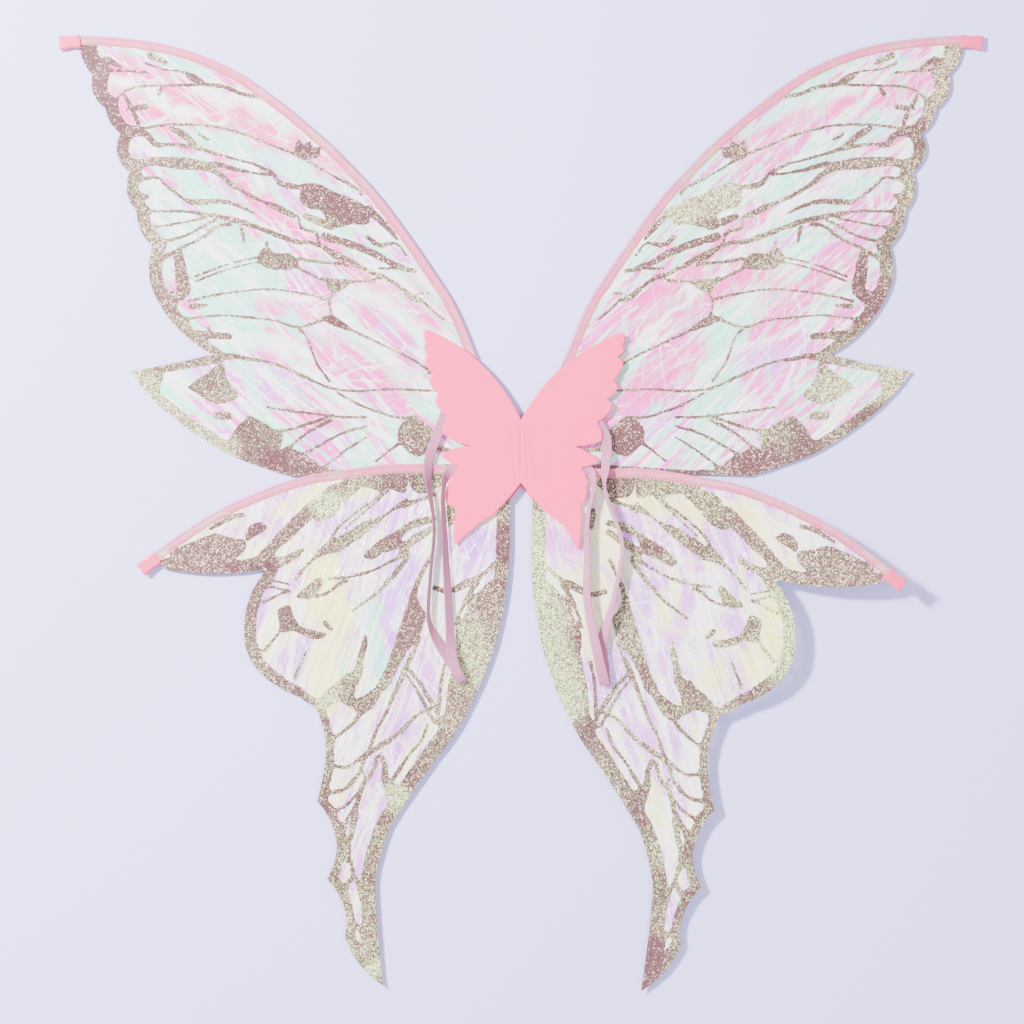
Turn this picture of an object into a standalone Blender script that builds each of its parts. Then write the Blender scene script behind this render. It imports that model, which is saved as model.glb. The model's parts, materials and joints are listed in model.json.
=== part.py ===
"""Fairy wings: two folding pairs of clear film wings on a felt butterfly patch.

Lengths are in millimetres until they reach Blender. Every wing is drawn once in a
half frame: x counts outwards from the fold line, y towards the wing tops, z up. The
object lies flat, with the side that meets the wearer's back facing up.
"""

import math

import bmesh
import bpy
import numpy as np

MM = 0.001
STEP_MM = 17.0        # spacing of the stations along a wire
ARC_STEP_MM = 6.0     # spacing of the points along a curved edge

# Layers, counted up from the surface the wings lie on.
FELT = 1.0            # thickness of each felt cover
REAR_COVER_Z = 0.0    # underside of the rear cover
FRONT_COVER_Z = 8.2   # underside of the front cover
BOARD_Z = 1.2         # underside of each stiffener board
BOARD = 0.4           # thickness of a stiffener board
FORE_Z = 3.4          # mid-plane of the forewing
HIND_Z = 5.4          # mid-plane of the hindwing, which lies on the forewing
PAD_Z = (1.3, 7.9)    # underside and top of the pad between the covers

# The fold line of each side, where the felt creases beside the pad.
FOLD_X = 8.0
FOLD_Y = 59.0
FOLD_Z = 4.0

# Wing parts.
FILM = 0.3            # thickness of the film
WIRE_R = 1.0
WIRE_SIDES = 10
HEM_INNER_R = 1.25    # inside of the ribbon fold, around the wire
HEM_OUTER_R = 1.55    # outside of the ribbon fold
HEM_REACH = 8.0       # how far the ribbon's legs reach over the film
HEM_LEG_INNER = 0.45  # half the slot between the legs
HEM_LEG_OUTER = 0.8   # half the thickness over the legs
FILM_INSET = 3.2      # from the wire's centre to the film's edge
CAP_R = (1.2, 1.5)    # inner and outer radius of the cap on the wire's tip
CAP_LENGTH = 6.0
CAP_WALL = 0.6
CAP_GAP = 0.3         # between the wire's tip and the inside of the cap's end
WRAP_R = (1.15, 1.45)  # inner and outer radius of the tape round the wire's root
WRAP_LENGTH = 12.0
TAB_WIDTH = 14.0
TAB_HEIGHT = 4.4
TAB_WALL = 0.4
TAB_SHIFT = -4.5      # the tab hangs inwards from the wire
TAB_GAP = 0.4         # between the hem's end and the tab
TAB_OVERRUN = 2.4     # how far the tab reaches past the wire's tip

# Straps.
STRAP_WIDTH = 10.0
STRAP = 0.8
STRAP_STATIONS = 84

# The wires, from the root under the covers to the tip of the wing.
FORE_WIRE = [
    (15, 84), (23, 110), (42.5, 148), (65, 201), (83, 231), (116, 279), (144, 316),
    (166, 340), (196, 370), (242, 408.5), (286.5, 439.5), (336, 460.5), (385, 470.5),
    (435, 474.5), (460, 473),
]
HIND_WIRE = [
    (15, 47), (36, 45.5), (63, 44), (121, 46), (169, 41), (222, 32), (276, 12),
    (312, -6), (347, -29), (381, -54),
]
FORE_HEM_FROM = 4     # station where the hem starts, just under the covers
HIND_HEM_FROM = 3

# Edges of the films from the tip round to the root: x, y and how far the run to the
# next point bows outwards.
FORE_EDGE = [
    (442, 469, 0), (441, 459, 2), (429, 437, 6), (416, 403, 3), (401, 378, 8),
    (392, 339, 6), (385, 300, 4), (369, 265, 6), (364, 211, 6), (309, 157, -1),
    (391, 140, 2), (355, 99, 2), (293, 57, 1), (230, 35, 0), (170, 37, 0),
    (120, 41, 0), (60, 46, 0), (14, 56, 0), (18, 78, 0),
]
HIND_EDGE = [
    (364, -45, 0), (359, -57, 6), (253, -57, 6), (277, -116, 9), (249, -172, 1),
    (225, -184, 1), (206, -195, -3), (195, -244, -1), (204, -290, -4), (184, -336, -2),
    (194, -368, -4), (174, -411, 0), (176, -427, 5), (138, -475, -1), (146, -370, -1.6),
    (131, -315, -1.5), (71, -230, 4), (25, -130, 3), (11, -28, 0), (11, 5, 0),
    (13, 38, 0), (20, 42, 0),
]

# How each hindwing lies: shift, turn in degrees, and lift in degrees about the line
# from its root to its tail.
HIND_TURN_CENTRE = (60, 44)
HIND_LAY = {
    "left": {"shift": (0, 0), "turn": 0.0, "lift": 0.0},
    "right": {"shift": (2, -3), "turn": -2.2, "lift": 5.0},
}
LIFT_LINE = ((60, 44), (124, -480))
LIFT_BLEND = 40.0     # the film bends upwards over this distance
LIFT_CUTS = 4

# One half of the butterfly cover, from the top notch round to the bottom notch.
COVER_EDGE = [
    (0, 91, 14), (101, 178, 1), (104, 174, 1), (101, 166, 3), (96, 154, 6),
    (93, 131, 5), (86, 112, 5), (76, 89, 3), (81, 70, 1), (49, 65, 2), (74, 54, 2),
    (78, 49, 1), (59, 43, 2), (67, 25, 2), (61, 3, 2), (59, -38, 0), (42, -13, 0),
    (23, 1, 0), (11, 14, 0), (0, 28, 0),
]
REAR_COVER_GROWTH = 1.03
REAR_COVER_SHIFT = -2.0
BOARD_EDGE = [
    (10, 88, 2), (30, 122, 3), (78, 158, 3), (82, 140, 3), (63, 94, 0), (42, 68, 0),
    (50, 52, 0), (54, 28, 2), (47, -6, 0), (10, 36, 0),
]
PAD_EDGE = [(4.5, 36, 1), (4.5, 84, 0)]

# Straps: centre x, y, z, then the direction across the strap's width.
LEFT_STRAP = [
    (66, 126, 7.7, 0.95, 0.3, 0), (72, 108, 7.7, 0.95, 0.3, 0),
    (78, 91, 7.7, 0.95, 0.3, 0), (84, 74, 7.7, 0.97, 0.2, 0),
    (91, 56, 8.8, 0.95, 0.1, 0.25), (93, 38, 10.6, 0.8, 0, 0.6),
    (91, 18, 11.4, 0.3, 0, 0.95), (87, -9, 11.3, 0, 0, 1), (87, -30, 11.3, 0, 0, 1),
    (90, -60, 11.3, 0, 0, 1), (92.5, -100, 11.2, 0, 0, 1),
    (89, -118, 10.6, 0.55, -0.3, 0.78), (81, -134, 8.4, 0.8, -0.5, 0.3),
    (71.5, -148.5, 7.2, 0.83, -0.55, 0), (63, -162, 7.2, 0.83, -0.55, 0),
    (57.5, -170.5, 10.4, 0.83, -0.55, 0), (62.5, -163, 13.6, 0.85, -0.5, 0),
    (67.5, -150, 13.9, 0.92, -0.35, 0), (70, -136, 13.4, 0.9, -0.2, 0.3),
    (71, -122, 12.4, 0.7, -0.1, 0.7), (71.5, -106, 11.5, 0.2, 0, 0.98),
    (73, -79, 11.3, 0, 0, 1), (75, -49, 11.3, 0, 0, 1), (77, -9, 11.3, 0, 0, 1),
    (78, 11, 11.3, 0, 0, 1), (77, 25, 11.2, 0.3, 0.2, 0.9),
    (75, 34, 9.8, 0.55, 0.6, 0.6), (70, 41, 7.5, 0.45, 0.88, -0.05),
    (64, 45.5, 7.7, 0.4, 0.9, 0),
    (55, 49, 7.7, 0.3, 0.95, 0), (42, 53, 7.7, 0.2, 0.98, 0),
]
RIGHT_STRAP = [
    (66, 124, 7.7, 0.95, 0.3, 0), (71, 106, 7.7, 0.95, 0.3, 0),
    (77, 90, 7.7, 0.95, 0.3, 0), (84, 77, 7.6, 0.98, 0.1, 0),
    (86, 65, 8.3, 0.98, 0, 0.1), (85, 52, 9.6, 0.9, 0, 0.35),
    (84, 40, 11.2, 0.75, 0, 0.65), (83, 27, 12.4, 0.3, 0, 0.95),
    (86, 12, 12.9, 0, 0, 1), (92, -5, 13.3, 0, 0, 1), (98, -20, 13.5, 0, 0, 1),
    (101, -36, 13.5, 0, 0, 1), (99, -55, 13.3, 0, 0, 1), (94, -80, 12.9, 0, 0, 1),
    (90, -97, 12.5, 0.1, 0, 1), (86, -112, 11.8, 0.55, 0, 0.85),
    (82, -128, 9.8, 0.95, 0.05, 0.3), (82, -146, 8.6, 1, 0, 0),
    (83.5, -164, 8.4, 1, 0, 0), (84, -174, 11.6, 1, 0, 0), (81.5, -164, 14.8, 1, 0.1, 0),
    (78, -150, 15.1, 0.97, 0.2, 0), (75, -136, 14.6, 0.93, 0.2, 0.25),
    (71.5, -121, 13.4, 0.6, 0.1, 0.8), (68, -103, 12.4, 0.1, 0, 1),
    (65.5, -82, 12.2, 0, 0, 1), (65.5, -60, 12.0, 0, 0, 1), (65.5, -38, 11.8, 0, 0, 1),
    (65.5, -16, 11.6, 0, 0, 1), (68, 4, 11.6, 0, 0, 1), (72, 19, 11.6, 0.2, 0.1, 1),
    (72, 31, 11.0, 0.5, 0.35, 0.8), (69.5, 38.5, 8.1, 0.5, 0.85, 0),
    (63, 44, 7.6, 0.4, 0.92, 0), (54, 48, 7.7, 0.3, 0.95, 0),
    (42, 51, 7.7, 0.2, 0.98, 0),
]

SIDES = {"left": -1.0, "right": 1.0}


# ---------------------------------------------------------------- materials

def make_material(name, colour, roughness, metallic=0.0, alpha=1.0):
    material = bpy.data.materials.new(name)
    material.use_nodes = True
    shader = material.node_tree.nodes["Principled BSDF"]
    shader.inputs["Base Color"].default_value = (*colour, 1.0)
    shader.inputs["Roughness"].default_value = roughness
    shader.inputs["Metallic"].default_value = metallic
    shader.inputs["Alpha"].default_value = alpha
    material.diffuse_color = (*colour, alpha)
    return material


def felt_pink():
    return make_material("felt_pink", (0.95, 0.42, 0.52), 0.95)


def forewing_film():
    return make_material("forewing_film", (0.80, 0.52, 0.66), 0.15, alpha=0.55)


def hindwing_film():
    return make_material("hindwing_film", (0.82, 0.70, 0.82), 0.15, alpha=0.5)


def pink_ribbon():
    return make_material("pink_ribbon", (0.93, 0.46, 0.55), 0.7)


def tab_ribbon():
    return make_material("tab_ribbon", (0.86, 0.30, 0.42), 0.7)


def mauve_elastic():
    return make_material("mauve_elastic", (0.62, 0.33, 0.48), 0.8)


def spring_wire():
    return make_material("spring_wire", (0.60, 0.60, 0.62), 0.3, metallic=1.0)


def white_board():
    return make_material("white_board", (0.85, 0.85, 0.83), 0.6)


def clear_tape():
    return make_material("clear_tape", (0.80, 0.80, 0.78), 0.4)


def rubber_cap():
    return make_material("rubber_cap", (0.75, 0.35, 0.42), 0.8)


# ------------------------------------------------------------ curves in plan

def unit(vector):
    return vector / np.linalg.norm(vector)


def spline_point(rows, position):
    """Catmull-Rom interpolation of rows of numbers at a fractional row."""
    last = len(rows) - 1
    i = min(int(position), last - 1)
    t = position - i
    before = rows[max(i - 1, 0)]
    a = rows[i]
    b = rows[i + 1]
    after = rows[min(i + 2, last)]
    return (a + 0.5 * t * (b - before)
            + t * t * (before - 2.5 * a + 2.0 * b - 0.5 * after)
            + t * t * t * (1.5 * (a - b) + 0.5 * (after - before)))


def even_stations(rows, count):
    """The spline through the rows, at equal distances along its first two numbers."""
    rows = np.array(rows, float)
    fine = np.array([spline_point(rows, p) for p in np.linspace(0, len(rows) - 1, 1200)])
    reach = min(fine.shape[1], 3)
    gaps = np.linalg.norm(np.diff(fine[:, :reach], axis=0), axis=1)
    travelled = np.concatenate([[0.0], np.cumsum(gaps)])
    wanted = np.linspace(0.0, travelled[-1], count)
    columns = [np.interp(wanted, travelled, fine[:, c]) for c in range(fine.shape[1])]
    return np.array(columns).T


def wire_stations(points):
    rough = even_stations(points, 200)
    length = np.linalg.norm(np.diff(rough, axis=0), axis=1).sum()
    return even_stations(points, round(length / STEP_MM) + 1)


def outward_normals(path):
    """Unit normals on the left of the direction of travel, away from the film."""
    along = np.gradient(path, axis=0)
    along /= np.linalg.norm(along, axis=1)[:, None]
    return np.column_stack([-along[:, 1], along[:, 0]])


def bowed_run(start, end, bow):
    """Points from start up to, but not including, end along an arc."""
    start = np.array(start, float)
    end = np.array(end, float)
    chord = np.linalg.norm(end - start)
    if abs(bow) < 0.01:
        return [start]
    along = (end - start) / chord
    out = np.array([-along[1], along[0]])
    radius = (chord * chord / 4.0 + bow * bow) / (2.0 * abs(bow))
    half = math.asin(min(1.0, chord / (2.0 * radius)))
    count = max(2, math.ceil(2.0 * radius * half / ARC_STEP_MM))
    points = []
    for angle in np.linspace(-half, half, count + 1)[:-1]:
        sideways = (math.cos(angle) - math.cos(half)) * radius * math.copysign(1, bow)
        middle = (start + end) / 2.0 + along * radius * math.sin(angle)
        points.append(middle + out * sideways)
    return points


def bowed_edge(rows, closed):
    """The points of an edge given as x, y, bow rows. The outside is on the left."""
    points = []
    last = len(rows) if closed else len(rows) - 1
    for i in range(last):
        after = rows[(i + 1) % len(rows)]
        points += bowed_run(rows[i][:2], after[:2], rows[i][2])
    if not closed:
        points.append(np.array(rows[-1][:2], float))
    return points


def mirrored_outline(half):
    """A full outline from its right half, whose ends lie on the fold line."""
    other = [np.array([-p[0], p[1]]) for p in half[::-1] if p[0] > 0.01]
    return list(half) + other


# ------------------------------------------------------------- placement

def film_rise(x, y, lift_degrees):
    """How far a lifted wing stands above its plane."""
    if lift_degrees == 0.0:
        return 0.0
    start = np.array(LIFT_LINE[0], float)
    along = unit(np.array(LIFT_LINE[1], float) - start)
    out = np.array([-along[1], along[0]])
    distance = float((np.array([x, y]) - start) @ out)
    slope = math.tan(math.radians(lift_degrees))
    if distance <= 0.0:
        return 0.0
    if distance < LIFT_BLEND:
        return slope * distance * distance / (2.0 * LIFT_BLEND)
    return slope * (distance - LIFT_BLEND / 2.0)


def placer(side, lay=None):
    """A function that takes half-frame millimetres to metres from the fold axis."""
    sign = SIDES[side]

    def place(point):
        x, y, z = point
        if lay is not None:
            turn = math.radians(lay["turn"])
            dx = x - HIND_TURN_CENTRE[0]
            dy = y - HIND_TURN_CENTRE[1]
            x = HIND_TURN_CENTRE[0] + dx * math.cos(turn) - dy * math.sin(turn)
            y = HIND_TURN_CENTRE[1] + dx * math.sin(turn) + dy * math.cos(turn)
            x += lay["shift"][0]
            y += lay["shift"][1]
            z += film_rise(x, y, lay["lift"])
        return (sign * (x - FOLD_X) * MM, (y - FOLD_Y) * MM, (z - FOLD_Z) * MM)

    return place


def centre_place(point):
    return tuple(value * MM for value in point)


def finish(name, mesh_maker, material, parent, smooth):
    """Turns a filled bmesh into an object, with every face looking outwards."""
    bmesh.ops.recalc_face_normals(mesh_maker, faces=mesh_maker.faces)
    if mesh_maker.calc_volume(signed=True) < 0.0:
        bmesh.ops.reverse_faces(mesh_maker, faces=mesh_maker.faces)
    mesh = bpy.data.meshes.new(name)
    mesh_maker.to_mesh(mesh)
    mesh_maker.free()
    mesh.materials.append(material)
    made = bpy.data.objects.new(name, mesh)
    bpy.context.collection.objects.link(made)
    made.parent = parent
    if smooth:
        mesh.polygons.foreach_set("use_smooth", [True] * len(mesh.polygons))
        mesh.set_sharp_from_angle(angle=math.radians(50))
    return made


# ------------------------------------------------------------------ shapes

def sheet(name, outline, low, thickness, place, material, parent, cuts=()):
    """A flat sheet with an outline in plan, cut across where it has to bend."""
    maker = bmesh.new()
    corners = [maker.verts.new((p[0], p[1], 0.0)) for p in outline]
    maker.faces.new(corners)
    bmesh.ops.triangulate(maker, faces=maker.faces)
    for point, normal in cuts:
        every = list(maker.verts) + list(maker.edges) + list(maker.faces)
        bmesh.ops.bisect_plane(maker, geom=every, plane_co=point, plane_no=normal)
    bmesh.ops.triangulate(maker, faces=maker.faces)
    grown = bmesh.ops.extrude_face_region(maker, geom=list(maker.faces))
    raised = {item for item in grown["geom"] if isinstance(item, bmesh.types.BMVert)}
    for vertex in maker.verts:
        height = low + (thickness if vertex in raised else 0.0)
        vertex.co = place((vertex.co.x, vertex.co.y, height))
    return finish(name, maker, material, parent, False)


def loft(name, rings, material, parent, smooth=True):
    """A closed body through rings of points, with a flat end at each end."""
    maker = bmesh.new()
    loops = [[maker.verts.new(point) for point in ring] for ring in rings]
    for near, far in zip(loops, loops[1:]):
        for i in range(len(near)):
            j = (i + 1) % len(near)
            maker.faces.new((near[i], near[j], far[j], far[i]))
    maker.faces.new(loops[0])
    maker.faces.new(loops[-1][::-1])
    ends = [face for face in maker.faces if len(face.verts) > 4]
    bmesh.ops.triangulate(maker, faces=ends)
    return finish(name, maker, material, parent, smooth)


def ring_at(centre, normal, z, profile, place):
    """A profile of (outwards, up) pairs, standing across a wire at one station."""
    return [
        place((centre[0] + normal[0] * u, centre[1] + normal[1] * u, z + v))
        for u, v in profile
    ]


def circle_profile(radius):
    turns = np.arange(WIRE_SIDES) * 2.0 * math.pi / WIRE_SIDES
    return [(radius * math.cos(a), radius * math.sin(a)) for a in turns]


def hem_profile():
    """A ribbon folded round the wire, with a leg above and a leg below the film."""
    edge = (HEM_LEG_INNER + HEM_LEG_OUTER) / 2.0
    outside = [
        (-HEM_REACH, edge), (0.4 - HEM_REACH, HEM_LEG_OUTER), (-2.8, HEM_LEG_OUTER),
        (-1.3, 1.2),
    ]
    inside = [(0.4 - HEM_REACH, HEM_LEG_INNER), (-2.5, HEM_LEG_INNER), (-1.15, 0.85)]
    bend = np.radians(np.linspace(115, -115, 8))
    around_out = [(HEM_OUTER_R * math.cos(a), HEM_OUTER_R * math.sin(a)) for a in bend]
    around_in = [(HEM_INNER_R * math.cos(a), HEM_INNER_R * math.sin(a)) for a in bend]
    below_out = [(u, -v) for u, v in outside[::-1]]
    below_in = [(u, -v) for u, v in inside]
    return outside + around_out + below_out + below_in + around_in[::-1] + inside[::-1]


def box_profile(width, height, shift, corner):
    """A rounded rectangle centred on shift."""
    points = []
    for across, up, start in ((1, 1, 0), (-1, 1, 90), (-1, -1, 180), (1, -1, 270)):
        for angle in (start, start + 45, start + 90):
            turn = math.radians(angle)
            u = across * (width / 2 - corner) + corner * math.cos(turn)
            v = up * (height / 2 - corner) + corner * math.sin(turn)
            points.append((u + shift, v))
    return points


def make_wire(name, path, z, place, material, parent):
    normals = outward_normals(path)
    profile = circle_profile(WIRE_R)
    rings = [ring_at(c, n, z, profile, place) for c, n in zip(path, normals)]
    return loft(name, rings, material, parent)


def make_hem(name, path, first, z, place, material, parent):
    normals = outward_normals(path)
    profile = hem_profile()
    stations = range(first, len(path) - 1)
    rings = [ring_at(path[i], normals[i], z, profile, place) for i in stations]
    return loft(name, rings, material, parent)


def make_cap(name, path, z, place, material, parent):
    """A blind tube over the wire's tip."""
    along = unit(path[-1] - path[-2])
    normal = np.array([-along[1], along[0]])
    bottom = path[-1] + along * CAP_GAP
    mouth = path[-1] + along * (CAP_GAP + CAP_WALL - CAP_LENGTH)
    end = path[-1] + along * (CAP_GAP + CAP_WALL)
    inner = circle_profile(CAP_R[0])
    outer = circle_profile(CAP_R[1])
    rings = [
        ring_at(bottom, normal, z, inner, place), ring_at(mouth, normal, z, inner, place),
        ring_at(mouth, normal, z, outer, place), ring_at(end, normal, z, outer, place),
    ]
    return loft(name, rings, material, parent)


def make_wrap(name, path, z, place, material, parent):
    """Tape wound round the wire's root, open at both ends."""
    along = unit(path[1] - path[0])
    normal = np.array([-along[1], along[0]])
    near = path[0] + along * 1.0
    far = near + along * WRAP_LENGTH
    maker = bmesh.new()
    loops = []
    for centre, radius in (
        (near, WRAP_R[0]), (near, WRAP_R[1]), (far, WRAP_R[1]), (far, WRAP_R[0]),
    ):
        ring = ring_at(centre, normal, z, circle_profile(radius), place)
        loops.append([maker.verts.new(point) for point in ring])
    for k in range(4):
        ring = loops[k]
        after = loops[(k + 1) % 4]
        for i in range(WIRE_SIDES):
            j = (i + 1) % WIRE_SIDES
            maker.faces.new((ring[i], ring[j], after[j], after[i]))
    return finish(name, maker, material, parent, True)


def make_tab(name, path, z, place, material, parent):
    """A pocket of folded ribbon that closes the hem's end over the wire's tip."""
    along = unit(path[-1] - path[-2])
    normal = np.array([-along[1], along[0]])
    mouth = path[-2] + along * TAB_GAP
    end = path[-1] + along * TAB_OVERRUN
    bottom = end - along * TAB_WALL
    outer = box_profile(TAB_WIDTH, TAB_HEIGHT, TAB_SHIFT, 1.2)
    inner = box_profile(
        TAB_WIDTH - 2 * TAB_WALL, TAB_HEIGHT - 2 * TAB_WALL, TAB_SHIFT, 0.8
    )
    rings = [
        ring_at(bottom, normal, z, inner, place), ring_at(mouth, normal, z, inner, place),
        ring_at(mouth, normal, z, outer, place), ring_at(end, normal, z, outer, place),
    ]
    return loft(name, rings, material, parent)


def film_outline(path, edge, first):
    """The film runs beside the wire, then round its own free edge."""
    normals = outward_normals(path)
    beside = [path[i] - normals[i] * FILM_INSET for i in range(first, len(path) - 2)]
    return beside + bowed_edge(edge, False)


def lift_cuts(lay):
    """Planes across a lifted film where it has to bend, in the half frame."""
    if lay is None or lay["lift"] == 0.0:
        return []
    turn = math.radians(-lay["turn"])
    start = np.array(LIFT_LINE[0], float)
    along = unit(np.array(LIFT_LINE[1], float) - start)
    out = np.array([-along[1], along[0]])
    pivot = np.array(HIND_TURN_CENTRE, float)
    spin = np.array([[math.cos(turn), -math.sin(turn)], [math.sin(turn), math.cos(turn)]])
    cuts = []
    for distance in np.linspace(0.0, LIFT_BLEND, LIFT_CUTS + 1):
        on_line = start + out * distance - np.array(lay["shift"])
        point = pivot + spin @ (on_line - pivot)
        normal = spin @ out
        cuts.append(((point[0], point[1], 0.0), (normal[0], normal[1], 0.0)))
    return cuts


def make_strap(name, rows, place, material, parent):
    """A flat elastic strap that twists as its width turns."""
    stations = even_stations(rows, STRAP_STATIONS)
    centres = stations[:, :3]
    along = np.gradient(centres, axis=0)
    along /= np.linalg.norm(along, axis=1)[:, None]
    half_width = STRAP_WIDTH / 2.0
    half = STRAP / 2.0
    soft = 0.25
    profile = [
        (half_width, -soft / 2), (half_width, soft / 2), (half_width - soft, half),
        (-half_width + soft, half), (-half_width, soft / 2), (-half_width, -soft / 2),
        (-half_width + soft, -half), (half_width - soft, -half),
    ]
    rings = []
    for centre, direction, row in zip(centres, along, stations):
        across = row[3:] - direction * float(row[3:] @ direction)
        across = unit(across)
        up = np.cross(direction, across)
        rings.append([place(tuple(centre + across * u + up * v)) for u, v in profile])
    return loft(name, rings, material, parent)


# ---------------------------------------------------------------- assembly

def make_centre():
    felt = felt_pink()
    half = bowed_edge(COVER_EDGE, False)
    outline = mirrored_outline(half)
    sheet("front_cover", outline, FRONT_COVER_Z, FELT, centre_place, felt, None)
    shift = FOLD_Y * (1.0 - REAR_COVER_GROWTH) + REAR_COVER_SHIFT
    larger = [np.array(p) * REAR_COVER_GROWTH + np.array([0.0, shift]) for p in outline]
    sheet("rear_cover", larger, REAR_COVER_Z, FELT, centre_place, felt, None)
    pad = [(-x, y) for x, y, _ in PAD_EDGE] + [(x, y) for x, y, _ in PAD_EDGE[::-1]]
    sheet("centre_pad", pad, PAD_Z[0], PAD_Z[1] - PAD_Z[0], centre_place, felt, None)


def make_wing(prefix, wire, edge, hem_from, film_from, z, place, cuts, parts, parent):
    path = wire_stations(wire)
    outline = film_outline(path, edge, film_from)
    sheet(prefix + "_film", outline, z - FILM / 2, FILM, place, parts["film"], parent, cuts)
    make_wire(prefix + "_wire", path, z, place, parts["wire"], parent)
    make_hem(prefix + "_hem", path, hem_from, z, place, parts["ribbon"], parent)
    make_tab(prefix + "_tip_tab", path, z, place, parts["tab"], parent)
    make_cap(prefix + "_wire_cap", path, z, place, parts["cap"], parent)
    make_wrap(prefix + "_root_tape", path, z, place, parts["tape"], parent)


def make_side(side, parts):
    axis = bpy.data.objects.new(side + "_fold_axis", None)
    axis.location = (SIDES[side] * FOLD_X * MM, FOLD_Y * MM, FOLD_Z * MM)
    bpy.context.collection.objects.link(axis)
    flat = placer(side)
    laid = placer(side, HIND_LAY[side])
    board = bowed_edge(BOARD_EDGE, True)
    sheet(side + "_board", board, BOARD_Z, BOARD, flat, parts["board"], axis)
    fore = dict(parts, film=parts["fore_film"])
    hind = dict(parts, film=parts["hind_film"])
    make_wing(
        side + "_forewing", FORE_WIRE, FORE_EDGE, FORE_HEM_FROM, 1, FORE_Z, flat, (),
        fore, axis,
    )
    make_wing(
        side + "_hindwing", HIND_WIRE, HIND_EDGE, HIND_HEM_FROM, 1, HIND_Z, laid,
        lift_cuts(HIND_LAY[side]), hind, axis,
    )
    strap = LEFT_STRAP if side == "left" else RIGHT_STRAP
    make_strap(side + "_strap", strap, flat, parts["strap"], axis)


def main():
    for thing in list(bpy.data.objects):
        bpy.data.objects.remove(thing, do_unlink=True)
    make_centre()
    parts = {
        "board": white_board(), "fore_film": forewing_film(),
        "hind_film": hindwing_film(), "wire": spring_wire(), "ribbon": pink_ribbon(),
        "tab": tab_ribbon(), "cap": rubber_cap(), "tape": clear_tape(),
        "strap": mauve_elastic(),
    }
    for side in SIDES:
        make_side(side, parts)


main()
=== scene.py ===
"""Looks of the fairy wings: films, glitter print, ribbon hems, felt covers, straps.

Half-frame millimetres throughout: x outwards from the fold line, y towards the wing
tops, z up, until a point is placed in metres.
"""

import json
import math

import bpy
import numpy as np
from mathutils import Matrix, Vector

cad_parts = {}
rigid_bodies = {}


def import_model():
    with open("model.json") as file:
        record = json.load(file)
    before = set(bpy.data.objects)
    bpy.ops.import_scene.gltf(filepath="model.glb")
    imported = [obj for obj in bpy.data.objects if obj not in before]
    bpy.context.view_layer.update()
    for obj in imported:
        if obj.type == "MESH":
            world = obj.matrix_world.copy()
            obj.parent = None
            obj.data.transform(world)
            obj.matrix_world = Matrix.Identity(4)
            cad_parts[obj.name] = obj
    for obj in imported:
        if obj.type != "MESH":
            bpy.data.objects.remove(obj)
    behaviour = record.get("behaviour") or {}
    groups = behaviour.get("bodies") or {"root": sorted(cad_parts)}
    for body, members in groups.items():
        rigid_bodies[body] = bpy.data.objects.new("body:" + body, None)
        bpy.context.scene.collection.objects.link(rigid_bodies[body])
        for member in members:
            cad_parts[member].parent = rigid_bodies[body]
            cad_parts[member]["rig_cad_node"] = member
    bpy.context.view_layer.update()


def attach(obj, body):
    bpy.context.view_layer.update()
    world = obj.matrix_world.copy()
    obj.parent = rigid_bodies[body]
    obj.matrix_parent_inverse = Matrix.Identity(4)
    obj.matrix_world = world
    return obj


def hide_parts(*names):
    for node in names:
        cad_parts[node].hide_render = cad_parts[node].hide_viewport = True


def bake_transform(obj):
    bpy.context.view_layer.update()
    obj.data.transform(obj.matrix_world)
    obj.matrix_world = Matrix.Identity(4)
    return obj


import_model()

MM = 0.001
SIDES = {"left": -1.0, "right": 1.0}
FAR = 1e9

# Spacing of stations along the wires and edges, and of the grids.
STEP_MM = 17.0
ARC_STEP_MM = 4.0
STROKE_STEP_MM = 5.0
FILM_GRID = 2.5
PRINT_GRID = 1.2
COVER_GRID = 1.6
SPLINE_PLACES = 1200
HEM_STATIONS = 400
STRAP_STATIONS = 420

FILM_INSET = 3.2
LEADING_BORDER = 9.0
PRINT_GAP = 0.17

FORE_WIRE = [
    (15, 84), (23, 110), (42.5, 148), (65, 201), (83, 231), (116, 279), (144, 316),
    (166, 340), (196, 370), (242, 408.5), (286.5, 439.5), (336, 460.5), (385, 470.5),
    (435, 474.5), (460, 473),
]
HIND_WIRE = [
    (15, 47), (36, 45.5), (63, 44), (121, 46), (169, 41), (222, 32), (276, 12),
    (312, -6), (347, -29), (381, -54),
]
# x, y, how far the run to the next point bows outwards, width of the printed border.
FORE_EDGE = [
    (442, 469, 0, 10), (441, 459, 2, 17), (429, 437, 6, 17), (416, 403, 3, 13),
    (401, 378, 8, 12), (392, 339, 6, 12), (385, 300, 4, 12), (369, 265, 6, 13),
    (364, 211, 6, 14), (309, 157, -1, 8), (391, 140, 2, 7), (355, 99, 2, 11),
    (293, 57, 1, 11), (230, 35, 0, 8), (170, 37, 0, 4), (120, 41, 0, 3),
    (60, 46, 0, 2), (14, 56, 0, 2), (18, 78, 0, 2),
]
HIND_EDGE = [
    (364, -45, 0, 4), (359, -57, 6, 6), (253, -57, 6, 10), (277, -116, 9, 12),
    (249, -172, 1, 12), (225, -184, 1, 9), (206, -195, -3, 8), (195, -244, -1, 8),
    (204, -290, -4, 9), (184, -336, -2, 8), (194, -368, -4, 10), (174, -411, 0, 8),
    (176, -427, 5, 10), (138, -475, -1, 16), (146, -370, -1.6, 15),
    (131, -315, -1.5, 14), (71, -230, 4, 16), (25, -130, 3, 16), (11, -28, 0, 10),
    (11, 5, 0, 8), (13, 38, 0, 3), (20, 42, 0, 2),
]
HIND_TURN_CENTRE = (60, 44)
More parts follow.
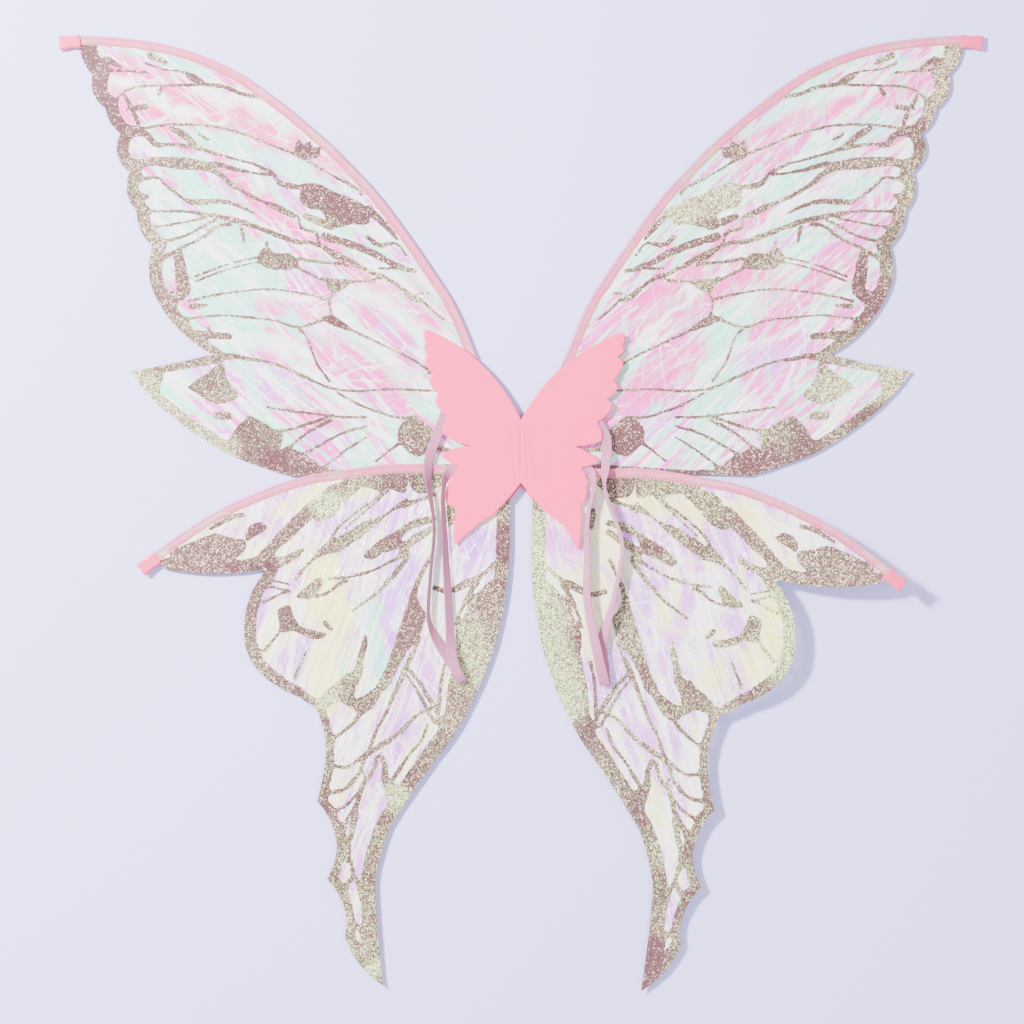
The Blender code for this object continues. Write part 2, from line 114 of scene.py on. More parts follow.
HIND_LAY = {
    "left": {"shift": (0, 0), "turn": 0.0, "lift": 0.0},
    "right": {"shift": (2, -3), "turn": -2.2, "lift": 5.0},
}
LIFT_LINE = ((60, 44), (124, -480))
LIFT_BLEND = 40.0

# The glitter print: strokes as x, y, width, and filled patches as outlines.
FORE_STROKES = [
    [(420, 441, 2.5), (401, 441, 2.5), (375, 439, 2.5)],
    [(414, 452, 7), (406, 448, 5), (399, 441, 2)],
    [(408, 410, 3), (396, 420, 2.5), (381, 425, 2.5), (355, 426, 2.5), (322, 427, 2.5)],
    [(358, 426, 2), (363, 418, 5)],
    [(398, 418, 3), (391, 405, 5), (384, 391, 4), (382, 380, 4)],
    [(386, 403, 6), (376, 405, 5)],
    [(391, 405, 2), (395, 401, 2)],
    [(375, 448, 3), (358, 442, 2), (340, 440, 2), (327, 433, 8), (315, 427, 4),
     (299, 425, 4), (274, 416, 4), (257, 416, 4)],
    [(371, 456, 6), (356, 449, 5)],
    [(388, 382, 4), (367, 385, 2.5), (348, 387, 2.5), (315, 386, 2.5), (290, 381, 2.5),
     (265, 373, 2.5), (244, 364, 2.5), (226, 357, 2.5), (208, 347, 2.5),
     (191, 337, 2.5), (178, 330, 3), (165, 323, 3), (160, 318, 4)],
    [(388, 381, 10), (375, 377, 7), (365, 367, 6), (348, 367, 3), (322, 363, 5),
     (307, 358, 3), (285, 352, 3), (267, 347, 3), (249, 338, 4), (241, 328, 6),
     (231, 325, 6), (218, 325, 4)],
    [(350, 383, 4), (340, 378, 8), (328, 368, 6), (322, 363, 4)],
    [(322, 377, 4), (313, 372, 3)],
    [(152, 302, 8), (135, 285, 6), (124, 272, 3)],
    [(391, 347, 8), (365, 350, 9), (340, 348, 13), (315, 345, 9), (302, 337, 6),
     (290, 327, 5), (274, 317, 4), (257, 309, 2.5)],
    [(257, 309, 3), (244, 304, 6), (231, 297, 6), (223, 294, 3), (220, 283, 3),
     (206, 279, 4), (201, 267, 3), (188, 257, 6), (175, 246, 4)],
    [(313, 349, 2), (303, 347, 6), (289, 343, 4), (265, 338, 3), (249, 337, 3)],
    [(394, 330, 5), (365, 334, 3), (358, 328, 3), (345, 318, 3), (337, 312, 3),
     (327, 309, 6), (299, 310, 5), (282, 305, 4), (267, 298, 2)],
    [(393, 312, 8), (375, 315, 6)],
    [(371, 300, 3), (338, 300, 3), (315, 297, 5), (299, 294, 5), (282, 290, 6),
     (259, 282, 5), (238, 274, 6), (222, 269, 5), (208, 268, 4), (178, 254, 5),
     (155, 241, 4), (138, 235, 4), (122, 225, 4), (108, 213, 6), (98, 210, 3),
     (89, 201, 2.5), (77, 191, 2)],
    [(108, 213, 2), (103, 218, 2), (92, 218, 2)],
    [(367, 284, 2.5), (338, 289, 2.5), (315, 294, 2.5)],
    [(357, 270, 3), (335, 276, 3), (315, 287, 3), (306, 291, 3)],
    [(358, 253, 3.5), (341, 263, 3.5), (318, 274, 3.5), (304, 285, 3.5),
     (290, 287, 3.5)],
    [(280, 284, 5), (277, 269, 2)],
    [(343, 258, 9), (340, 236, 13), (338, 221, 14), (350, 212, 12)],
    [(326, 230, 2), (305, 238, 2), (283, 245, 2), (263, 249, 2)],
    [(326, 235, 2), (305, 243, 2), (283, 250, 2), (263, 254, 2)],
    [(255, 269, 3), (252, 255, 6)],
    [(222, 253, 3), (201, 249, 3), (178, 248, 3)],
    [(222, 243, 3), (207, 235, 3), (192, 228, 3)],
    [(176, 229, 3), (161, 230, 3), (148, 231, 3), (138, 235, 3)],
    [(186, 223, 3), (192, 211, 3), (190, 198, 3)],
    [(333, 210, 3), (313, 215, 2.5), (280, 220, 2.5), (255, 222, 2.5), (230, 220, 2.5),
     (205, 215, 2.5), (192, 211, 2.5)],
    [(330, 205, 5), (315, 206, 3)],
    [(338, 190, 4), (328, 193, 2.5), (302, 196, 2.5), (275, 194, 2.5), (247, 191, 2.5),
     (224, 184, 2.5), (200, 191, 3)],
    [(186, 188, 3), (163, 178, 3), (138, 166, 2.5), (113, 154, 2.5), (95, 143, 2.5),
     (89, 138, 2.5)],
    [(224, 184, 3), (215, 175, 2.5), (210, 162, 2.5), (204, 147, 2.5), (192, 130, 3)],
    [(309, 153, 10), (288, 155, 6), (272, 152, 4), (252, 149, 3), (229, 140, 3),
     (207, 130, 3), (190, 123, 3), (165, 120, 2.5), (130, 122, 2.5), (84, 120, 2.5)],
    [(321, 177, 8), (292, 175, 6)], [(313, 183, 3), (311, 176, 4)],
    [(183, 118, 2.5), (163, 107, 2.5), (145, 100, 2.5), (125, 94, 2.5), (105, 94, 2.5)],
    [(314, 150, 5), (345, 149, 6), (388, 139, 7)],
    [(305, 96, 8), (293, 95, 8)],
    [(254, 104, 2.5), (229, 100, 2.5), (205, 97, 2.5), (178, 94, 2.5), (155, 94, 2.5)],
    [(247, 79, 3), (230, 82, 3), (205, 90, 3), (188, 96, 3)],
    [(234, 62, 3), (213, 79, 3), (190, 91, 3)],
    [(222, 54, 3), (196, 69, 3), (176, 79, 3), (155, 85, 3)],
    [(198, 44, 2.5), (178, 59, 2.5), (155, 74, 2.5)],
    [(145, 50, 2.5), (127, 64, 2.5), (120, 68, 3)],
    [(215, 295, 6), (203, 290, 8), (190, 285, 8)],
    [(196, 275, 8), (168, 266, 8), (148, 258, 7), (130, 248, 6), (117, 243, 6),
     (105, 240, 3)],
    [(153, 274, 5), (142, 266, 5), (125, 268, 3), (115, 256, 2.5)],
    [(142, 243, 3), (122, 243, 3)],
    [(118, 72, 7), (100, 66, 5), (80, 62, 4), (60, 60, 3)],
    [(92, 138, 3), (74, 150, 2.5), (60, 160, 2)],
    [(84, 120, 3), (66, 124, 2.5), (46, 130, 2)],
]
FORE_PATCHES = [
    [(215, 328), (201, 327), (188, 320), (173, 314), (158, 307), (152, 288), (171, 287),
     (181, 284), (190, 287), (200, 300), (215, 304), (222, 315)],
    [(223, 372), (218, 367), (211, 371), (208, 365), (202, 362), (205, 353), (226, 358)],
    [(258, 263), (245, 258), (230, 258), (222, 245), (244, 241), (262, 248)],
    [(199, 235), (190, 232), (172, 231), (176, 224), (186, 218), (192, 222)],
    [(201, 193), (189, 196), (181, 191), (171, 183), (186, 185)],
    [(388, 137), (360, 137), (361, 125), (368, 112), (384, 126)],
    [(333, 125), (315, 138), (298, 148), (295, 133), (283, 115), (305, 107), (328, 120)],
    [(272, 95), (248, 82), (238, 79), (247, 52), (275, 50), (292, 70)],
    [(248, 52), (234, 64), (209, 52), (204, 42), (230, 36)],
    [(123, 82), (117, 90), (105, 93), (87, 80), (89, 65), (105, 54), (122, 69)],
]
HIND_STROKES = [
    [(311, -18, 3), (291, -7, 5), (278, -4, 4)],
    [(226, -68, 3), (210, -50, 3), (195, -38, 4), (184, -18, 3), (159, 3, 2.5),
     (140, 16, 3)],
    [(176, -17, 2), (159, -3, 2), (142, 12, 2), (134, 20, 3)],
    [(192, -68, 3), (172, -66, 3), (150, -60, 3), (131, -51, 3), (121, -45, 5),
     (115, -34, 8), (101, -25, 8), (88, -17, 6)],
    [(248, -70, 2.5), (232, -73, 2.5)],
    [(257, -74, 2.5), (232, -80, 2.5)],
    [(257, -91, 2.5), (245, -85, 2.5), (232, -80, 3)],
    [(204, -86, 3), (192, -81, 3), (182, -73, 4), (174, -70, 3)],
    [(224, -118, 6), (207, -124, 9), (198, -124, 6)],
    [(240, -119, 3), (247, -128, 3), (256, -139, 4)],
    [(215, -141, 3), (220, -153, 3), (226, -166, 4)],
    [(169, -100, 3), (151, -87, 3), (142, -80, 4), (131, -68, 5), (115, -48, 6),
     (115, -38, 7)],
    [(87, 16, 4), (105, 10, 4), (115, 6, 6)],
    [(88, -8, 7), (108, -13, 8), (121, -22, 7)],
    [(90, -45, 4), (102, -68, 5), (108, -85, 6)],
    [(102, -128, 3), (108, -143, 4), (115, -156, 6), (125, -179, 4), (135, -202, 4),
     (144, -218, 3.5), (152, -238, 4), (158, -248, 4)],
    [(113, -158, 4), (102, -171, 4), (88, -194, 5), (83, -205, 4), (80, -214, 3)],
    [(118, -160, 3), (106, -176, 3), (93, -200, 4), (87, -212, 3)],
    [(75, -148, 3), (80, -171, 4), (82, -199, 4), (84, -212, 4)],
    [(27, -53, 4), (40, -65, 5), (54, -72, 8), (72, -80, 5), (87, -77, 5)],
    [(44, -72, 5), (55, -88, 4), (65, -113, 3)],
    [(144, -185, 4), (156, -197, 5), (162, -205, 4), (172, -216, 4), (188, -228, 3)],
    [(134, -200, 3.5), (144, -218, 3.5), (152, -238, 3.5), (162, -248, 3.5),
     (174, -256, 3.5), (192, -254, 3.5)],
    [(86, -196, 4), (104, -204, 4), (120, -220, 5), (136, -232, 6), (152, -242, 5),
     (158, -250, 4), (162, -262, 4), (176, -278, 4), (197, -283, 4)],
    [(158, -262, 3), (156, -272, 3), (172, -292, 3), (188, -301, 3)],
    [(144, -246, 4), (148, -260, 4), (158, -274, 5), (164, -292, 5), (166, -307, 6),
     (172, -333, 5), (172, -347, 5), (168, -363, 4), (175, -376, 4)],
    [(164, -292, 4), (172, -307, 5), (178, -319, 6), (178, -339, 5)],
    [(168, -363, 3), (162, -377, 3), (159, -388, 3)],
    [(140, -244, 5), (136, -256, 6), (136, -268, 8), (130, -280, 14), (126, -292, 12)],
    [(94, -214, 3), (100, -230, 3), (112, -244, 3), (124, -262, 4), (129, -270, 5)],
    [(83, -207, 5), (72, -216, 8)],
    [(164, -414, 3), (153, -438, 3)],
    [(196, -112, 5), (190, -118, 4)],
]
HIND_PATCHES = [
    [(369, -57), (353, -47), (348, -40), (320, -27), (305, -22), (291, -27), (277, -29),
     (275, -37), (285, -48), (291, -53), (300, -63), (341, -63)],
    [(276, -22), (270, -14), (260, -11), (253, -17), (260, -22), (270, -28), (275, -30)],
    [(291, -51), (268, -47), (253, -33), (242, -20), (225, -4), (210, 10), (207, -5),
     (219, -17), (235, -32), (245, -40), (250, -55), (265, -60), (285, -63)],
    [(212, 9), (199, 15), (184, 15), (180, 6), (187, -4), (199, -10), (208, -8)],
    [(199, 16), (189, 26), (159, 34), (131, 38), (115, 39), (115, 18), (131, 22),
     (140, 19), (156, 24), (167, 18), (177, 8), (185, 11)],
    [(112, 38), (92, 38), (78, 37), (74, 30), (82, 24), (94, 18), (108, 20)],
    [(248, -47), (237, -45), (217, -37), (225, -48), (238, -55), (247, -57)],
    [(115, 14), (125, 6), (138, -4), (156, -10), (176, -22), (198, -35), (203, -42),
     (185, -42), (165, -30), (145, -14), (131, -2), (115, 6)],
    [(122, -20), (138, -27), (151, -37), (158, -45), (150, -49), (138, -42), (122, -37),
     (120, -28)],
    [(225, -85), (217, -78), (202, -66), (199, -72), (204, -82), (209, -87), (219, -88)],
    [(243, -105), (242, -98), (232, -94), (228, -103), (223, -115), (232, -121),
     (240, -119)],
    [(156, -123), (153, -131), (157, -148), (159, -163), (164, -174), (175, -183),
     (182, -178), (177, -163), (167, -159), (162, -141)],
    [(154, -196), (147, -188), (142, -171), (131, -156), (122, -154), (131, -171),
     (141, -184), (151, -199), (165, -199), (170, -196)],
    [(108, -83), (100, -95), (95, -105), (102, -125), (112, -138), (122, -154),
     (131, -171), (141, -184), (151, -199), (166, -200), (151, -184), (141, -168),
     (131, -146), (122, -118), (115, -96)],
    [(182, -170), (166, -170), (166, -187), (152, -181), (138, -170), (128, -170),
     (144, -187), (156, -199), (166, -199), (182, -191), (196, -196), (200, -186)],
    [(24, -5), (10, 5), (12, -38), (14, -65), (19, -96), (25, -130), (35, -154),
     (45, -178), (52, -199), (62, -214), (78, -210), (76, -199), (73, -174), (68, -154),
     (65, -138), (65, -121), (55, -100), (52, -88), (39, -78), (32, -70), (25, -62)],
    [(74, 6), (65, 1), (67, -12), (73, -15)],
]

# One half of each felt cover. x, y from the top notch round to the bottom notch.
FRONT_COVER = {
    "left": [
        (0, 91, 13), (95, 182, 1), (97, 176, 1), (95, 169, 0), (97, 164, 1),
        (93, 157, 0), (96, 151, 1), (93, 143, 1), (88, 138, 0),
        (92, 131, 2), (83, 119, 0), (86, 110, 2), (73, 95, 0), (77, 87, 1),
        (78, 77, 2), (49, 65, 2), (77, 58, 1), (79, 54, 1), (59, 43, 2), (67, 37, 2),
        (73, 25, 2), (74, 7, 0), (65, 2, 0), (67, -17, 1), (66, -34, 0), (42, -13, 1),
        (23, 1, 0), (11, 14, 0), (0, 28, 0),
    ],
    "right": [
        (0, 91, 13), (101, 178, 1), (104, 174, 1), (101, 166, 0), (103, 160, 1),
        (96, 154, 0), (102, 150, 2), (98, 139, 1), (93, 131, 0), (97, 124, 2),
        (86, 112, 0), (92, 107, 3), (76, 89, 0), (80, 82, 1), (81, 70, 2), (49, 65, 2),
        (74, 54, 1), (78, 49, 1), (59, 43, 2), (65, 34, 2), (66, 25, 2), (60, 4, 1),
        (60, -17, 1), (57, -40, 0), (42, -13, 1), (23, 1, 0), (11, 14, 0), (0, 28, 0),
    ],
}
REAR_COVER = [
    (0, 91, 14), (101, 178, 1), (104, 174, 1), (101, 166, 3), (96, 154, 6),
    (93, 131, 5), (86, 112, 5), (76, 89, 3), (81, 70, 1), (49, 65, 2), (74, 54, 2),
    (78, 49, 1), (59, 43, 2), (67, 25, 2), (61, 3, 2), (59, -38, 0), (42, -13, 0),
    (23, 1, 0), (11, 14, 0), (0, 28, 0),
]
# The rear cover is slightly larger, grown about the middle of the fold and set lower.
REAR_GROWTH = 1.03
REAR_SHIFT = 59.0 * (1.0 - REAR_GROWTH) - 2.0

# Straps: centre x, y, z, then the direction across the strap's width.
STRAPS = {
    "left": [
        (66, 126, 7.7, 0.95, 0.3, 0), (72, 108, 7.7, 0.95, 0.3, 0),
        (78, 91, 7.7, 0.95, 0.3, 0), (84, 74, 7.7, 0.97, 0.2, 0),
        (91, 56, 8.8, 0.95, 0.1, 0.25), (93, 38, 10.6, 0.8, 0, 0.6),
        (91, 18, 11.4, 0.45, 0, 0.9), (87, -9, 11.3, 0.3, 0, 0.95),
        (87, -30, 11.3, 0.3, 0, 0.95), (90, -60, 11.3, 0.3, 0, 0.95),
        (92.5, -100, 11.2, 0.35, 0, 0.93),
        (89, -118, 10.6, 0.55, -0.3, 0.78), (81, -134, 8.4, 0.8, -0.5, 0.3),
        (71.5, -148.5, 7.2, 0.83, -0.55, 0), (63, -162, 7.2, 0.83, -0.55, 0),
        (57.5, -170.5, 10.4, 0.83, -0.55, 0), (62.5, -163, 13.6, 0.85, -0.5, 0),
        (67.5, -150, 13.9, 0.92, -0.35, 0), (70, -136, 13.4, 0.9, -0.2, 0.3),
        (71, -122, 12.4, 0.85, -0.1, 0.5), (71.5, -106, 11.5, 0.82, 0, 0.57),
        (73, -79, 11.3, 0.78, 0, 0.62), (75, -49, 11.3, 0.65, 0, 0.76),
        (77, -9, 11.3, 0.5, 0, 0.87), (78, 11, 11.3, 0.4, 0, 0.92),
        (77, 25, 11.2, 0.4, 0.2, 0.9),
        (75, 34, 9.8, 0.55, 0.6, 0.6), (70, 41, 7.5, 0.45, 0.88, -0.05),
        (64, 45.5, 7.7, 0.4, 0.9, 0), (55, 49, 7.7, 0.3, 0.95, 0),
        (42, 53, 7.7, 0.2, 0.98, 0),
    ],
    "right": [
        (66, 124, 7.7, 0.95, 0.3, 0), (71, 106, 7.7, 0.95, 0.3, 0),
        (77, 90, 7.7, 0.95, 0.3, 0), (84, 77, 7.6, 0.98, 0.1, 0),
        (86, 65, 8.3, 0.98, 0, 0.1), (85, 52, 9.6, 0.9, 0, 0.35),
        (84, 40, 11.2, 0.75, 0, 0.65), (83, 27, 12.4, 0.3, 0, 0.95),
        (86, 12, 12.9, 0.35, 0, 0.94), (92, -5, 13.3, 0.35, 0, 0.94), (98, -20, 13.5, 0.35, 0, 0.94),
        (101, -36, 13.5, 0.35, 0, 0.94), (99, -55, 13.3, 0.35, 0, 0.94), (94, -80, 12.9, 0.4, 0, 0.92),
        (90, -97, 12.5, 0.5, 0, 0.87), (86, -112, 11.8, 0.7, 0, 0.7),
        (82, -128, 9.8, 0.95, 0.05, 0.3), (82, -146, 8.6, 1, 0, 0),
        (83.5, -164, 8.4, 1, 0, 0), (84, -174, 11.6, 1, 0, 0),
        (81.5, -164, 14.8, 1, 0.1, 0), (78, -150, 15.1, 0.97, 0.2, 0),
        (75, -136, 14.6, 0.93, 0.2, 0.25), (71.5, -121, 13.4, 0.85, 0.1, 0.5),
        (68, -103, 12.4, 0.75, 0, 0.66), (65.5, -82, 12.2, 0.7, 0, 0.7),
        (65.5, -60, 12.0, 0.6, 0, 0.8), (65.5, -38, 11.8, 0.5, 0, 0.87),
        (65.5, -16, 11.6, 0.45, 0, 0.9), (68, 4, 11.6, 0.35, 0, 0.93), (72, 19, 11.6, 0.35, 0.1, 0.93),
        (72, 31, 11.0, 0.5, 0.35, 0.8), (69.5, 38.5, 8.1, 0.5, 0.85, 0),
        (63, 44, 7.6, 0.4, 0.92, 0), (54, 48, 7.7, 0.3, 0.95, 0),
        (42, 51, 7.7, 0.2, 0.98, 0),
    ],
}

# Across the ribbon, from its inner edge on top to the ridge over the wire: out, up.
HEM_TOP = [
    (-8.0, 0.5), (-7.4, 0.68), (-6.6, 0.60), (-5.0, 0.66), (-3.6, 0.66), (-2.4, 0.80),
    (-1.4, 1.15),
]
RIDGE_RADIUS = 1.5
RIDGE_REACH = 112
STITCH_EVERY = 4.2
STITCH_LENGTH = 2.9
STITCH_PROFILE = [(-6.95, 0.70), (-6.75, 0.86), (-6.45, 0.86), (-6.25, 0.70)]
TAB_SHARES = [0.0, 0.02, 0.12, 0.25, 0.4, 0.55, 0.7, 0.85, 0.97, 1.0, 1.0]
TAB_TURNS = 28
STRAP_TOP = [
    (5.0, 0.12), (4.75, 0.34), (3.6, 0.38), (1.8, 0.35), (0.0, 0.38), (-1.8, 0.35),
    (-3.6, 0.38), (-4.75, 0.34), (-5.0, 0.12),
]
COVER_THICK = 1.0
FRONT_COVER_Z = 8.2


# ------------------------------------------------------------------ curves

def unit(vector):
    return vector / np.linalg.norm(vector)


def gaps(path):
    """Distances between points that follow one another."""
    return np.linalg.norm(np.diff(path, axis=0), axis=1)


def travelled(path):
    """Distance along a path at each of its points."""
    return np.concatenate([[0.0], np.cumsum(gaps(path))])


def directions(path):
    along = np.gradient(path, axis=0)
    return along / np.linalg.norm(along, axis=1)[:, None]


def outward_normals(path):
    along = directions(path)
    return np.column_stack([-along[:, 1], along[:, 0]])


def spline_point(rows, position):
    last = len(rows) - 1
    i = min(int(position), last - 1)
    t = position - i
    before = rows[max(i - 1, 0)]
    a = rows[i]
    b = rows[i + 1]
    after = rows[min(i + 2, last)]
    return (a + 0.5 * t * (b - before)
            + t * t * (before - 2.5 * a + 2.0 * b - 0.5 * after)
            + t * t * t * (1.5 * (a - b) + 0.5 * (after - before)))


def spline_points(rows, count):
    rows = np.array(rows, float)
    return np.array([spline_point(rows, p) for p in np.linspace(0, len(rows) - 1, count)])


def even_stations(rows, count):
    """Rows for places that are spaced evenly along a spline."""
    fine = spline_points(rows, SPLINE_PLACES)
    along = travelled(fine[:, :3])
    wanted = np.linspace(0.0, along[-1], count)
    return np.array([np.interp(wanted, along, column) for column in fine.T]).T


def wire_stations(points):
    length = gaps(even_stations(points, 200)).sum()
    return even_stations(points, round(length / STEP_MM) + 1)


def bowed_edge(rows):
    """Points x, y and border width, along runs that bow outwards."""
    rows = np.array([(*row, 0)[:4] for row in rows], float)
    points = []
    for here, after in zip(rows, rows[1:]):
        run = after[:2] - here[:2]
        chord = np.linalg.norm(run)
        along = run / chord
        out = np.array([-along[1], along[0]])
        count = max(2, math.ceil(chord / ARC_STEP_MM))
        for t in np.arange(count) / count:
            bow = 4.0 * here[2] * t * (1.0 - t)
            place = here[:2] + along * chord * t + out * bow
            points.append((*place, here[3] + (after[3] - here[3]) * t))
    points.append(rows[-1][[0, 1, 3]])
    return np.array(points)


def rounded_patch(points):
    """A closed spline through a patch's corners."""
    rows = np.array(points, float)
    count = len(rows)
    ring = []
    for i in range(count):
        window = np.array([rows[(i + k) % count] for k in (-1, 0, 1, 2)])
        for t in (0.0, 1 / 3, 2 / 3):
            ring.append(spline_point(window, 1.0 + t))
    return np.array(ring)


# ------------------------------------------------------- placement, relief

def film_rise(x, y, lift_degrees):
    if lift_degrees == 0.0:
        return np.zeros_like(x)
    start = np.array(LIFT_LINE[0], float)
    along = unit(np.array(LIFT_LINE[1], float) - start)
    distance = -(x - start[0]) * along[1] + (y - start[1]) * along[0]
    slope = math.tan(math.radians(lift_degrees))
    near = slope * distance * distance / (2.0 * LIFT_BLEND)
    far = slope * (distance - LIFT_BLEND / 2.0)
    return np.where(distance <= 0.0, 0.0, np.where(distance < LIFT_BLEND, near, far))


def placed(points, side, lay=None):
    """Half-frame millimetres to metres in the row frame."""
    points = np.asarray(points, float)
    x, y, z = points[:, 0], points[:, 1], points[:, 2]
    if lay is not None:
        turn = math.radians(lay["turn"])
        dx = x - HIND_TURN_CENTRE[0]
        dy = y - HIND_TURN_CENTRE[1]
        x = HIND_TURN_CENTRE[0] + dx * math.cos(turn) - dy * math.sin(turn)
        y = HIND_TURN_CENTRE[1] + dx * math.sin(turn) + dy * math.cos(turn)
        x = x + lay["shift"][0]
        y = y + lay["shift"][1]
        z = z + film_rise(x, y, lay["lift"])
    return np.column_stack([SIDES[side] * x, y, z]) * MM


def smooth_step(value, low, high):
    t = np.clip((value - low) / (high - low), 0.0, 1.0)
    return t * t * (3.0 - 2.0 * t)


def lattice(ix, iy, seed):
    h = (ix * 374761393 + iy * 668265263 + seed * 1274126177) & 0xFFFFFFFF
    h = ((h ^ (h >> 13)) * 1274126177) & 0xFFFFFFFF
    return ((h ^ (h >> 16)) & 0xFFFF) / 65535.0


def value_noise(x, y, seed):
    ix = np.floor(x).astype(np.int64)
    iy = np.floor(y).astype(np.int64)
    fx = x - ix
    fy = y - iy
    fx = fx * fx * (3 - 2 * fx)
    fy = fy * fy * (3 - 2 * fy)
    a = lattice(ix, iy, seed)
    b = lattice(ix + 1, iy, seed)
    c = lattice(ix, iy + 1, seed)
    d = lattice(ix + 1, iy + 1, seed)
    return (a + (b - a) * fx) * (1 - fy) + (c + (d - c) * fx) * fy


def streak_noise(x, y, angle, length, width, seed):
    """Noise drawn out along one direction, with a gentle wander."""
    turn = math.radians(angle)
    bend = 0.35 * (value_noise(x / 90.0, y / 90.0, seed + 7) - 0.5)
    u = x * math.cos(turn) + y * math.sin(turn)
    v = -x * math.sin(turn) + y * math.cos(turn) + bend * u * 0.35
    coarse = value_noise(u / length, v / width, seed)
    fine = value_noise(u / length * 2.1, v / width * 2.3, seed + 1)
    return 0.65 * coarse + 0.35 * fine


def wrinkles(x, y, seed, angle):
    """Height of the film's creases, in millimetres."""
    ridges = np.abs(2.0 * streak_noise(x, y, angle, 70.0, 9.0, seed) - 1.0)
    cross = np.abs(2.0 * streak_noise(x, y, angle + 62.0, 60.0, 14.0, seed + 3) - 1.0)
    return 0.75 * ridges + 0.4 * cross - 0.4


# ---------------------------------------------------------- distance fields

def grid_between(low, high, step):
    """The x and the y of a grid that runs from one corner to just past the other."""
    return np.meshgrid(np.arange(low[0], high[0] + step, step),
                       np.arange(low[1], high[1] + step, step))


def outline_grid(outline, step):
    margin = 3.0 * step
    return grid_between(outline.min(axis=0) - margin, outline.max(axis=0) + margin, step)


def nearest_on(x, y, a, b):
    """The share of the run from a to b that is nearest, and how far away it is."""
    run = (b - a)[:2]
    squared = max(float(run @ run), 1e-9)
    share = np.clip(((x - a[0]) * run[0] + (y - a[1]) * run[1]) / squared, 0.0, 1.0)
    return share, np.hypot(x - a[0] - share * run[0], y - a[1] - share * run[1])


def path_distance(x, y, path):
    best = np.full(x.shape, FAR)
    for a, b in zip(path, path[1:]):
        best = np.minimum(best, nearest_on(x, y, a, b)[1])
    return best


def inside_distance(gx, gy, outline):
    """Signed distance to a closed outline, positive inside."""
    best = path_distance(gx, gy, np.concatenate([outline, outline[:1]]))
    inside = np.zeros(gx.shape, bool)
    for a, b in zip(outline, np.roll(outline, -1, axis=0)):
        if a[1] != b[1]:
            crosses = (a[1] > gy) != (b[1] > gy)
            inside ^= crosses & (gx < a[0] + (gy - a[1]) * (b[0] - a[0]) / (b[1] - a[1]))
    return np.where(inside, best, -best)


def window(gx, gy, low, high):
    """The part of a grid that lies between two corners."""
    i0, i1 = np.searchsorted(gx[0], [low[0], high[0]])
    j0, j1 = np.searchsorted(gy[:, 0], [low[1], high[1]])
    return slice(max(j0 - 1, 0), j1 + 1), slice(max(i0 - 1, 0), i1 + 1)


def soft_union(a, b, k):
    h = np.maximum(k - np.abs(a - b), 0.0) / k
    return np.maximum(a, b) + h * h * k * 0.25


def add_stroke(field, gx, gy, points):
    """Raise a field to the depth inside a stroke, whose rows are x, y, width."""
    for a, b in zip(points, points[1:]):
        reach = max(a[2], b[2]) / 2.0 + 7.0
        part = window(gx, gy, np.minimum(a, b)[:2] - reach, np.maximum(a, b)[:2] + reach)
        share, away = nearest_on(gx[part], gy[part], a, b)
        width = a[2] + (b[2] - a[2]) * share
        field[part] = np.maximum(field[part], width / 2.0 - away)


def print_field(gx, gy, outline_field, strokes, patches, border):
    """How deep each place lies in the print: positive in veins, patches and border."""
    veins, solid, rim = (np.full(gx.shape, -50.0) for _ in range(3))
    for stroke in strokes:
        points = np.asarray(stroke, float)
        if len(points) > 2:
            length = gaps(points[:, :2]).sum()
            points = spline_points(points, max(4, int(length / STROKE_STEP_MM)))
        add_stroke(veins, gx, gy, points)
    for patch in patches:
        ring = rounded_patch(patch)
        part = window(gx, gy, ring.min(axis=0) - 8.0, ring.max(axis=0) + 8.0)
        solid[part] = np.maximum(solid[part], inside_distance(gx[part], gy[part], ring))
    add_stroke(rim, gx, gy, border * (1.0, 1.0, 2.0))
    field = soft_union(soft_union(veins, solid, 4.0), rim, 6.0)
    rough = value_noise(gx / 1.7, gy / 1.7, 5) - 0.5
    rough += value_noise(gx / 5.0, gy / 5.0, 9) - 0.5
    return np.minimum(field + 0.9 * rough, outline_field)


